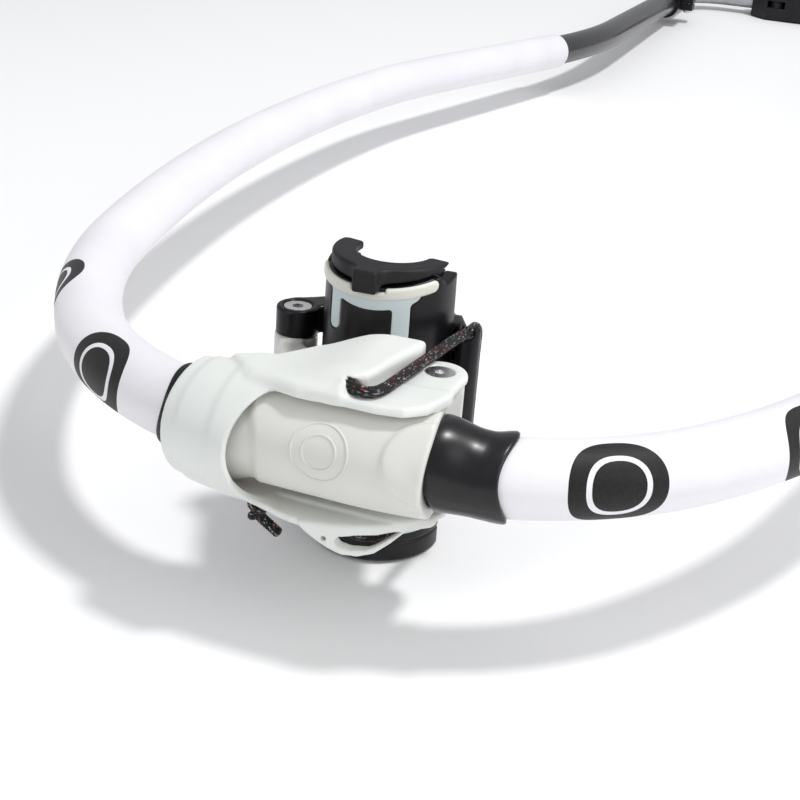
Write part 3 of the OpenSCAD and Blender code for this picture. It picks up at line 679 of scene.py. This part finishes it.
def make_lashing():
    """One braided cord in four stretches: from the lever to the gate's post above and below, down behind
    the post, and the knotted tail under the lever."""
    cord = braided_cord()
    round_the_post = lifted(BACK_ROUTE) + dropped(BACK_ROUTE)[::-1]
    stretches = [("lashing_cord_upper", "lashing_upper", lifted(UPPER_ROUTE[1:]), (0, 0, 1)),
                 ("lashing_cord_lower", "lashing_lower", dropped(LOWER_ROUTE), (0, 0, 1)),
                 ("lashing_cord_back", "lashing_back", round_the_post, (1, 0, 0)),
                 ("lashing_cord_tail", "lashing_tail", dropped(TAIL_ROUTE), (0, 1, 0))]
    made = {}
    for name, node, route, reference in stretches:
        points, faces, strands = braid(route, reference)
        piece = make_piece(name, points, faces, cord, strands, "strands", weld=True)
        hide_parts(node)
        made[node] = piece
    for node, height in (("lashing_upper", CORD_Z * MM), ("lashing_lower", -CORD_Z * MM)):
        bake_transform(made[node])
    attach(made["lashing_back"], "boom")
    knot = make_knot(cord)
    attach(made["lashing_tail"], "lever")
    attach(knot, "lever")
    line, s = smooth_route(dropped(TAIL_ROUTE), 0.5)


# ---- wishbone ------------------------------------------------------------

PATCH_PLACES = {1: (124, 226), -1: (110, 210)}
PATCH_TURN = math.radians(167)
PATCH_HALF = (20.0, 21.0)


def make_grips(foam):
    """The foam grips. Each point keeps its distance from the nearest hand patch's middle, for the foam."""
    for side, end_name in SIDES.items():
        outline = rounded_pipe(GRIP_START[side], GRIP_END, GRIP_R, TUBE_R + 0.05, 2.0, 1.2)
        sides = 96
        points, faces, uv = arm_sleeve(outline, side, sides)
        piece = make_piece("foam_grip_" + end_name, points, faces, foam, uv, "sleeve")
        turn = full_turn(sides)
        around = (turn - PATCH_TURN + np.pi) % (2 * np.pi) - np.pi
        radius = np.full((len(outline), sides), 9.0)
        for middle in PATCH_PLACES[side]:
            a = np.abs(outline[:, 0] - middle)[:, None] / PATCH_HALF[0]
            b = np.abs(around)[None] * GRIP_R / PATCH_HALF[1]
            radius = np.minimum(radius, (a ** 2.3 + b ** 2.3) ** (1 / 2.3))
        layer = piece.data.attributes.new("patch_radius", "FLOAT", "POINT")
        layer.data.foreach_set("value", radius.astype(np.float32).ravel())
        place_piece(piece, "boom", "grip_" + end_name)


COLLARS = {1: (BARREL_RIGHT + 0.2, 82.0, (BARREL_SADDLE, 3.6), 1.8, 4.0),
           -1: (BARREL_LEFT + 0.3, 65.2, (0.0, 3.0), 0.0, 0.0)}
COLLAR_ON_GRIP = 5


def collar_outline(start, lip, seat):
    """Outline loop of a rubber collar: a shoulder on the barrel, a waist, and a lip over the grip."""
    s = np.linspace(start, lip, 60)
    t = (s - start) / (lip - start)
    r = 20.1 - 1.7 * smoothstep((t - 0.08) / 0.5) + 0.9 * smoothstep((t - 0.66) / 0.3)
    r = r - 1.0 * (1 - np.clip((s - start) / 1.5, 0, 1)) ** 2
    r = r - 0.7 * np.clip(1 - (lip - s) / 1.2, 0, 1) ** 2
    turn_in = seat - COLLAR_ON_GRIP
    on_grip, on_tube = GRIP_R + 0.02, TUBE_R + 0.02
    inside = [(lip, on_grip), (turn_in, on_grip), (turn_in, on_tube), (start, on_tube)]
    return np.concatenate([np.stack([s, r], -1), inside])


def make_collars(rubber):
    for side, end_name in SIDES.items():
        start, lip, *bends = COLLARS[side]
        points, faces, uv = arm_sleeve(collar_outline(start, lip, GRIP_START[side]), side, 96, *bends)
        piece = make_piece("rubber_collar_" + end_name, points, faces, rubber, uv, "sleeve")
        place_piece(piece, "boom", "collar_" + end_name)


def make_tube(carbon):
    """The arm tube, one closed skin from the left end round the front to the right end."""
    total = sum(t if r == 0 else abs(r) * math.radians(t) for r, t in STRETCHES)
    s = np.concatenate([-np.arange(total, 0, -4.0), np.arange(0, total, 4.0), [total]])
    s[0] = -total
    sides = 64
    turn = full_turn(sides)
    centre, across = arm_place(np.abs(s), 1)
    flip = np.where(s < 0, -1.0, 1.0)
    centre[:, 0] *= flip
    across[:, 0] *= flip
    walls = []
    for r, order in ((TUBE_R, slice(None)), (TUBE_R - TUBE_WALL, slice(None, None, -1))):
        ring = centre[order, None] + r * np.cos(turn)[:, None] * across[order, None]
        ring[..., 2] = r * np.sin(turn)
        walls.append(ring)
    points = np.concatenate(walls)
    faces, place = grid_faces(len(points), sides, True)
    along = np.concatenate([s, s[::-1], s[:1]])
    uv = np.stack([along[place[:, 0]] * MM, place[:, 1] / sides * 2 * np.pi * TUBE_R * MM], -1)
    piece = make_piece("arm_tube", points.reshape(-1, 3), faces[:, ::-1], carbon,
                       uv.reshape(-1, 4, 2)[:, ::-1].reshape(-1, 2), "sleeve")
    place_piece(piece, "boom", "boom_tube")


# ---- head ----------------------------------------------------------------

SADDLE = [(-30, -72), (-30, -44), (-24, -20), (26, -20), (34, -40), (46, -58), (46, -74)]
HINGE_ARM = [(-56, -1), (-40, -9), (-24, -22), (-20, -50), (-30, -50)]
PIVOT_WEB = [(31, -51), (52, -51), (50, -62), (49, -74), (30, -74)]


def head_solid(x, y, z):
    """The barrel on the arm, its neck at the lever's cuff, the saddle, the pivot's lug and the hinge boss."""
    s, n = arm_near_front(x, y)
    inward = smoothstep((s + 36) / 18)
    neck = 1.8 * (1 - smoothstep((s + 20 + 0.012 * z ** 2) / 6.0)) - 1.8 * (1 - inward)
    from_eye = np.hypot(s - 55, BARREL_R * np.arctan2(z - BARREL_RISE, -n) - 9)
    fin = 1.4 * smoothstep((20 - from_eye) / 2.4) * smoothstep((from_eye - 8) / 10)
    barrel = np.hypot(n, z - BARREL_RISE * inward) - (BARREL_R - neck + fin)
    rim = BARREL_RIGHT + BARREL_SADDLE * (z ** 2 - n ** 2) / (z ** 2 + n ** 2 + 1)
    end = np.maximum(s - rim, -BARREL_LEFT - s)
    barrel = meet(barrel, end, 1.6)
    saddle = meet(outline_distance(x, y, SADDLE), np.abs(z) - SADDLE_HALF + 0.6 * np.maximum(4 - x, 0), 3.0)
    from_pivot = np.hypot(x - PIVOT[0], y - PIVOT[1])
    lug = meet(from_pivot - LUG_R, np.abs(z) - SADDLE_HALF, 2.0)
    web_top = SADDLE_HALF - 1.5 - 0.3 * np.maximum(-y - 60, 0)
    web = meet(outline_distance(x, y, PIVOT_WEB), np.abs(z) - web_top, 3.0)
    arm = meet(outline_distance(x, y, HINGE_ARM), np.abs(z) - BOSS_HALF, 2.0)
    from_hinge = np.hypot(x - HINGE[0], y - HINGE[1])
    boss = meet(from_hinge - KNUCKLE_R, np.abs(z) - BOSS_HALF, 1.6)
    body = join(join(barrel, saddle, 6.0), join(lug, web, 7.0), 7.0)
    body = join(body, join(arm, boss, 4.0), 4.0)
    body = cut(body, np.hypot(n, z) - TUBE_R - 0.02, 0.6)
    body = cut(body, np.hypot(x, y) - CUP_OUT, 0.8)
    body = cut(body, from_pivot - PIVOT_BORE_R, 0.6)
    return cut(body, from_hinge - HINGE_BORE_R, 0.6)


def barrel_ring(middle, turn_up, ring_r, half_width, height):
    """A plain raised ring on the barrel: a half-round profile carried round a circle of radius ring_r
    drawn on the barrel's surface."""
    rows = 160
    t = full_turn(rows)[:, None]
    profile = full_turn(12)
    r = ring_r + half_width * np.cos(profile)
    along = middle + r * np.cos(t)
    up = turn_up + r * np.sin(t) / BARREL_R
    out = BARREL_R + height * np.sin(profile)
    points = np.stack([along, -FRONT_REACH - out * np.cos(up), BARREL_RISE + out * np.sin(up)], -1)
    faces, _ = grid_faces(rows, 12, True)
    return points.reshape(-1, 3), faces


def make_head(plastic):
    # The blended lug swells past z = 29 and -29, so the skin is open there, by the lever's plates.
    points, faces = skin(head_solid, (-58, -107, -29), (62, 12, 29), 1.0)
    head = make_piece("head_moulding", points, faces, plastic)
    place_piece(head, "boom", "head_body")
    for name, ring_r, width in (("barrel_ring_outer", 12.4, 0.55), ("barrel_ring_inner", 7.4, 0.5)):
        points, faces = barrel_ring(12.3, math.radians(15), ring_r, width, 0.42)
        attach(make_piece(name, points, faces, plastic), "boom")


# ---- mast cup, trim and adapter ------------------------------------------

ARC_R = 27.5


def cup_place(points):
    """Carries (arc length from the front, radius, height) to the frame's axes."""
    angle = points[:, 0] / ARC_R - np.pi / 2
    return np.stack([points[:, 1] * np.cos(angle), points[:, 1] * np.sin(angle), points[:, 2]], -1)


def cup_top(u, r):
    """Height of the cup's sloping top: it rises towards the mast's sides, more on the right."""
    return CUP_FRONT_TOP + CUP_TOP_RISE * (CUP_OUT - r * np.cos(u / ARC_R)) + CUP_TOP_TILT * u


def rim_foot(u):
    """Height where the white rim ends and the black wall starts: it climbs towards the sides."""
    return 44.5 + 0.6 * (CUP_OUT - CUP_OUT * np.cos(u / ARC_R))


def cup_side(z):
    """Outer radius of the cup's wall, which narrows a little towards the top."""
    return CUP_OUT + 0.5 - 1.5 * (z - CUP_BOTTOM) / 133


def degrees_out(angle):
    """Arc length of an angle from the front, in degrees, on the unrolled wall."""
    return math.radians(angle) * ARC_R


def box_distance(x, y, x0, x1, y0, y1, round_r):
    """Signed distance to a rounded box in the plane."""
    dx = np.abs(x - (x0 + x1) / 2) - (x1 - x0) / 2 + round_r
    dy = np.abs(y - (y0 + y1) / 2) - (y1 - y0) / 2 + round_r
    return np.hypot(np.maximum(dx, 0), np.maximum(dy, 0)) + np.minimum(np.maximum(dx, dy), 0) - round_r


def stripes_outline(u, r, z):
    """The milky part on the unrolled wall: a band under the rim, two stripes and the right stripe's foot."""
    top = cup_top(u, r)
    band = np.maximum(z - top + 2, rim_foot(u) - z)
    band = meet(band, np.abs(u + 1.5) - degrees_out(50), 3.0)
    left = box_distance(u, z, degrees_out(-39.75), degrees_out(-27), 31, 50, 2.9)
    right = box_distance(u, z, degrees_out(22.3), degrees_out(37.5), -66, 50, 1.0)
    foot = box_distance(u, z, degrees_out(26), degrees_out(66), -66, -62, 1.6)
    return join(band, join(join(left, right, 0.5), foot, 2.0), 2.0)


def rim_outline(u, r, z):
    """The cream rim on the unrolled wall: a round-ended bar that follows the sloping top."""
    return box_distance(u, z - cup_top(u, r), degrees_out(RIM_LEFT), degrees_out(RIM_RIGHT), -5.2, 0.2, 2.6)


def behind_tab(u, r, z):
    return np.maximum(np.abs(u) - 7.4, cup_top(u, r) - 1.6 - z)


def cup_solid(u, r, z):
    """The half-round wall, lower past the rim's right end, with a groove near the foot and sunk beds
    for the milky part and the rim."""
    wall = meet(r - cup_side(z), CUP_IN - r, 1.2)
    past_rim = smoothstep((u - degrees_out(RIM_RIGHT + 3)) / 4)
    wall = meet(wall, z - cup_top(u, r) + CUP_PAST_RIM_DROP * past_rim, 1.2)
    wall = meet(wall, CUP_BOTTOM - z, 1.2)
    wall = meet(wall, np.abs(u) - degrees_out(95), 1.2)
    groove = np.maximum(np.abs(z + 70.5) - 0.5, cup_side(z) - 0.6 - r)
    wall = cut(wall, groove, 0.5)
    white = np.minimum(stripes_outline(u, r, z), rim_outline(u, r, z)) - 0.12
    return cut(wall, np.maximum(white, cup_side(z) - 1.4 - r), 0.2)


def stripes_solid(u, r, z):
    """The milky moulding lies a hair proud of the wall."""
    wall = meet(r - cup_side(z) - 0.12, cup_side(z) - 1.3 - r, 0.4)
    return cut(meet(stripes_outline(u, r, z), wall, 0.5), behind_tab(u, r, z), 1.0)


def rim_solid(u, r, z):
    """The rim stands proud of the wall with a full round edge."""
    wall = meet(r - cup_side(z) - 1.1, cup_side(z) - 1.3 - r, 1.0)
    return cut(meet(rim_outline(u, r, z), wall, 1.6), behind_tab(u, r, z), 1.0)


def adapter_solid(u, r, z):
    """A split liner between the mast and the cup, under a thick flange. The flange's plan is a ring
    joined to a front tab with wide fillets, and the tab's foot hangs lower, to lock over the rim."""
    liner = np.abs(r - (MAST_R + CUP_IN) / 2) - (CUP_IN - MAST_R) / 2 + 0.05
    liner = meet(liner, np.abs(u) - degrees_out(98), 1.0)
    liner = meet(liner, CUP_BOTTOM - z, 1.0)
    liner = np.maximum(liner, z - 58)
    x = r * np.sin(u / ARC_R)
    y = r * np.cos(u / ARC_R)
    ring = meet(r - 27.6 - np.cos(u / ARC_R), np.abs(u) - degrees_out(103), 3.0)
    tab = meet(np.abs(x) - 5.7, np.abs(y - 29.5) - 5.5, 1.2)
    plan = meet(join(ring, tab, 6.0), MAST_R - r, 0.6)
    under = cup_top(u, r) + 1.6 - 2.0 * smoothstep((y - 29.6) / 2.0)
    flange = meet(meet(plan, z - ADAPTER_TOP, 1.6), under - z, 0.8)
    return join(liner, flange, 1.2)


def make_cup(black, milky, cream, grained):
    """Skins worked out on the unrolled wall, in (arc, radius, height), then rolled round the mast."""
    reach = degrees_out(100)
    for name, nodes, solid, material, slot, r_low, r_high, z_low, z_high, step in (
        ("cup_shell", ["mast_cup"], cup_solid, black, "cup_plastic", 22.5, 32.5, -82, 62, (0.9, 0.5, 0.9)),
        ("cup_stripes", ["cup_trim"], stripes_solid, milky, "trim_plastic",
         27.6, 32.4, -68, 58, (0.6, 0.25, 0.6)),
        ("cup_cream_rim", [], rim_solid, cream, "trim_plastic", 27, 32.6, 44, 62, (0.5, 0.3, 0.4)),
    ):
        points, faces = skin(solid, (-reach, r_low, z_low), (reach, r_high, z_high), step)
        piece = make_piece(name, cup_place(points), faces, material)
        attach(piece, "boom")
        if nodes:
            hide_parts(*nodes)
    reach = degrees_out(112)
    points, faces = skin(adapter_solid, (-reach, 15.5, -82), (reach, 36, 64), (0.9, 0.7, 0.8))
    liner = make_piece("mast_liner", cup_place(points), faces, grained)
    place_piece(liner, "boom", "mast_adapter")


# ---- lever ---------------------------------------------------------------

REAR_EDGE = [(54, -47), (42, -35.5), (32, -37.5), (10, -41), (-12.5, -50), (-24, -65), (-38, -75)]
CUFF_FRONT = [(-70, -73), (-70, -112), (-14, -112), (-2, -100)]
UPPER_FRONT = [(6, -93), (32, -93), (43, -90.5), (50, -83.5), (54, -70)]
LOWER_FRONT = [(7, -91.5), (25, -88), (41, -78.4), (51, -68.6), (54, -58)]
PLATE_START = [(-38, -75.5), (-20, -85), (-8, -90)]
WING_PLAN = [(-40, -74), (-26, -88), (-2, -95), (15.6, -92.5), (20.8, -85.4), (24, -83), (26, -78),
             (27.5, -68), (30.2, -56), (33, -46), (32.6, -40), (20, -41), (8, -42.5), (-12, -51), (-24, -66)]
LUG_PLAN = [(2, -97), (20, -91.5), (33, -84.5), (48, -66), (44.5, -63), (31, -80.5), (18, -86.5), (2, -90)]
LUG_FACE = [(0, -27), (5, -32.4), (10, -36.4), (15, -39.6), (20, -41.8), (26, -42.8), (32, -41.4),
            (37, -38.2), (42, -33.6), (47, -27)]
LUG_SLOT = [(16.8, -35.4), (18.6, -33.2), (25, -32.4), (41, -32), (38.5, -34.6), (34, -37.4), (29, -39.6),
            (23, -39.4), (18.4, -37.6)]


def wing_top(x, y, share):
    """Height of the wing's back: it swells from the cuff to the cord and from the front edge inwards."""
    along = smoothstep((x + 24) / 42)
    inward = 1 - (1 - np.clip((y + 97) / 25, 0, 1)) ** 2.6
    crest = 0.045 * np.clip(y + 72, 0, 26)
    droop = 0.0016 * np.maximum(x - 20, 0) ** 2
    return PLATE_OUT - 0.6 + share * (WING_HEIGHT - 0.6 + crest) * along * inward - droop


def lever_solid(x, y, z):
    """A channel round the barrel with a tapered cuff, open to the front and the back; plates above and
    below that reach the pivot; a wing on each plate beside the cord; and the lug under the lower one."""
    s, n = arm_near_front(x, y)
    height = np.abs(z)
    reach = np.hypot(np.minimum(n, 0), z)
    step_one = 0.8 * smoothstep((-31 - s) / 4.0)
    step_two = 0.9 * smoothstep((-46.5 - s) / 4.0)
    taper = 1.7 * np.clip((-33 - s) / 29, 0, 1) ** 2
    outer = LEVER_OUT - step_one - step_two - taper
    inner = outer - LEVER_WALL + 0.3 * (step_one + step_two)
    upper_plan = outline_distance(x, y, CUFF_FRONT + UPPER_FRONT + REAR_EDGE)
    lower_plan = outline_distance(x, y, CUFF_FRONT + LOWER_FRONT + REAR_EDGE)
    shell = meet(reach - outer, inner - reach, 1.0)
    shell = meet(shell, np.where(z > 0, upper_plan, lower_plan), 1.6)
    shell = meet(meet(shell, -CUFF_REACH - s, 1.8), n - 9, 1.0)

    from_pivot = np.hypot(x - PIVOT[0], y - PIVOT[1])
    upper_plate = join(outline_distance(x, y, PLATE_START + UPPER_FRONT + REAR_EDGE), from_pivot - 12, 1.0)
    lower_plate = join(outline_distance(x, y, PLATE_START + LOWER_FRONT + REAR_EDGE), from_pivot - 12, 1.0)
    sunk = 1.5 * (1 - smoothstep((x + 38) / 26))
    plate = meet(np.where(z > 0, upper_plate, lower_plate), height - PLATE_OUT + sunk, 2.0)
    plate = meet(plate, PLATE_IN - height, 0.8)

    back = wing_top(x, y, np.where(z > 0, 1.0, 0.45))
    wing = meet(outline_distance(x, y, WING_PLAN), (height - back) * 0.86, 2.8)
    wing = meet(wing, PLATE_IN - height, 0.8)
    body = join(join(shell, plate, 4.0), wing, 4.0)
    lug = meet(outline_distance(x, y, LUG_PLAN), outline_distance(x, z, LUG_FACE), 1.6)
    body = join(body, lug, 2.0)

    window = np.where(x < -10, np.hypot((x + 10) / 17, z / 27) - 1, height / 27 - 1) * 17
    body = cut(body, meet(window, n + 2, 1.0), 1.0)

    body = cut(body, rod_distance(x, y, z, (-2, -91.5, 36.2), (12, -90.6, 37.4), 1.6), 2.4)
    body = cut(body, rod_distance(x, y, z, (17, -85.4, CORD_Z), (23, -88.2, CORD_Z), CORD_R + 0.7), 0.6)
    body = cut(body, np.maximum(outline_distance(x, z, LUG_SLOT), y + 62), 0.8)
    body = cut(body, np.maximum(np.hypot(x - 12.8, z + 34.6) - 1.2, y + 84), 0.4)
    pocket = rod_distance(x, y, z, (-38, -76, -CORD_Z - 1), (14, -77.5, -CORD_Z - 1.4), CORD_R + 1.6)
    body = cut(body, pocket, 0.8)
    body = cut(body, from_pivot - PIVOT_BORE_R - 0.06, 0.4)
    return cut(body, np.maximum(from_pivot - 6.4, PLATE_OUT - 2 - height), 0.7)


def make_lever(plastic):
    points, faces = skin(lever_solid, (-66, -113, -46), (57, -33, 44), 0.9)
    place_piece(make_piece("lever_moulding", points, faces, plastic), "lever", "lever")


# ---- gate ----------------------------------------------------------------

KNUCKLE_PLAN = [(-52, 7), (-31, 25), (-20, 24), (-25, 8), (-37, 3)]
POST_WEB = [(29, 10), (26.3, 14), (28, 20), (39, 0), (39, -8), (35, -6), (34, 4)]


def gate_solid(x, y, z):
    """The hinged half behind the mast: a ribbed shell, two knuckles and the post that holds the cord."""
    r = np.hypot(x, y)
    height = np.abs(z)
    ribs = 0.9 * smoothstep((np.abs((height + 5.5) % 11 - 5.5) - 2.6) / 1.2)
    shell = meet(r - GATE_OUT + ribs, GATE_IN - r, 1.0)
    right_edge = x * math.sin(math.radians(11)) - y * math.cos(math.radians(11))
    left_edge = -x * math.sin(math.radians(13)) - y * math.cos(math.radians(13))
    shell = meet(meet(shell, np.maximum(right_edge, left_edge), 1.0), height - GATE_HALF, 1.4)
    from_hinge = np.hypot(x - HINGE[0], y - HINGE[1])
    knuckle = join(from_hinge - KNUCKLE_R, outline_distance(x, y, KNUCKLE_PLAN), 3.0)
    knuckle = meet(meet(knuckle, height - KNUCKLE_HALF, 1.6), BOSS_HALF + 0.4 - height, 1.0)
    post = meet(np.hypot(x - POST[0], y - POST[1]) - POST_R, height - POST_HALF, 2.2)
    web = meet(outline_distance(x, y, POST_WEB), height - GATE_HALF, 1.6)
    body = join(join(shell, knuckle, 2.5), join(post, web, 2.0), 2.0)
    body = cut(body, r - GATE_IN, 0.5)
    body = cut(body, from_hinge - HINGE_BORE_R - 0.06, 0.4)
    body = cut(body, np.maximum(from_hinge - 6.9, KNUCKLE_HALF - 8 - z), 0.6)
    body = cut(body, np.maximum(from_hinge - 8.4, z + KNUCKLE_HALF - 7.4), 0.3)
    above = height - CORD_Z - 0.4
    notch = np.where(above < 0, np.hypot(x - POST[0], above), np.abs(x - POST[0])) - CORD_R - 0.6
    return cut(body, np.maximum(notch, POST[1] - 12 - y), 0.8)


def pad_solid(x, y, z):
    """The grooved rubber pad that presses on the mast."""
    r = np.hypot(x, y)
    groove = 0.8 * smoothstep((np.abs((z + 5) % 10 - 5) - 3.6) / 0.8)
    pad = meet(r - GATE_IN, MAST_R + groove - r, 0.8)
    edge = np.abs(x) * math.sin(math.radians(25)) - y * math.cos(math.radians(25))
    return meet(meet(pad, edge, 1.0), np.abs(z) - PAD_HALF, 1.2)


def make_gate(black, rubber):
    points, faces = skin(gate_solid, (-59, -14, -39), (48, 36, 39), 1.0)
    place_piece(make_piece("gate_moulding", points, faces, black), "gate", "gate")
    points, faces = skin(pad_solid, (-28, 0, -32), (28, 28, 32), 0.9)
    place_piece(make_piece("gate_rubber_pad", points, faces, rubber), "gate", "gate_pad")


# ---- the whole -----------------------------------------------------------


def dress(material, *nodes):
    """Gives CAD nodes their finish."""
    for node in nodes:
        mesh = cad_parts[node].data
        mesh.materials.clear()
        mesh.materials.append(material)


def sided(*names):
    return [name + side for name in names for side in ("_left", "_right")]


make_camera()
make_floor()
make_lights()
make_lashing()
make_grips(foam_white())
make_collars(gloss_rubber())
make_tube(woven_carbon())
make_head(moulded("head_grey", (0.655, 0.655, 0.615), (0.71, 0.71, 0.675), 0.44))
lever_white = moulded("lever_white", (0.74, 0.755, 0.725), (0.79, 0.8, 0.775), 0.42, Subsurface_Weight=0.05)
make_lever(lever_white)
satin_black = moulded("satin_black", (0.004, 0.004, 0.005), (0.01, 0.01, 0.012), 0.3, 700.0, 0.02,
                      Specular_IOR_Level=0.3)
grained_black = moulded("grained_black", (0.007, 0.007, 0.008), (0.016, 0.016, 0.018), 0.5, 1300.0, 0.12,
                        Specular_IOR_Level=0.3)
milky_white = moulded("milky_white", (0.62, 0.68, 0.69), (0.72, 0.77, 0.77), 0.38, 700.0, 0.02,
                      Subsurface_Weight=0.08)
cream_white = moulded("cream_white", (0.76, 0.73, 0.65), (0.82, 0.79, 0.71), 0.4, 700.0, 0.02,
                      Subsurface_Weight=0.08)
make_cup(satin_black, milky_white, cream_white, grained_black)
make_gate(satin_black, moulded("pad_black", (0.01, 0.01, 0.011), (0.02, 0.02, 0.021), 0.7, 1100.0, 0.08))
dress(machined("stainless", (0.72, 0.72, 0.73), (0.88, 0.88, 0.89), 0.24), "pivot_pin", "pivot_screws",
      "hinge_bolt", "hinge_nut", *sided("clamp_bolt", "cam_pin", "sheave_axle"))
dress(satin_black, "tail_fitting", *sided("clamp_collar"))
dress(lever_white, *sided("cam_lever"))
dress(machined("drawn_alloy", (0.36, 0.37, 0.39), (0.5, 0.51, 0.53), 0.34, (1, 0.05, 1)), "extension_tube")
dress(machined("cleat_alloy", (0.5, 0.5, 0.51), (0.62, 0.62, 0.63), 0.38), *sided("jam_cleat"))
dress(grained_black, *sided("sheave"))
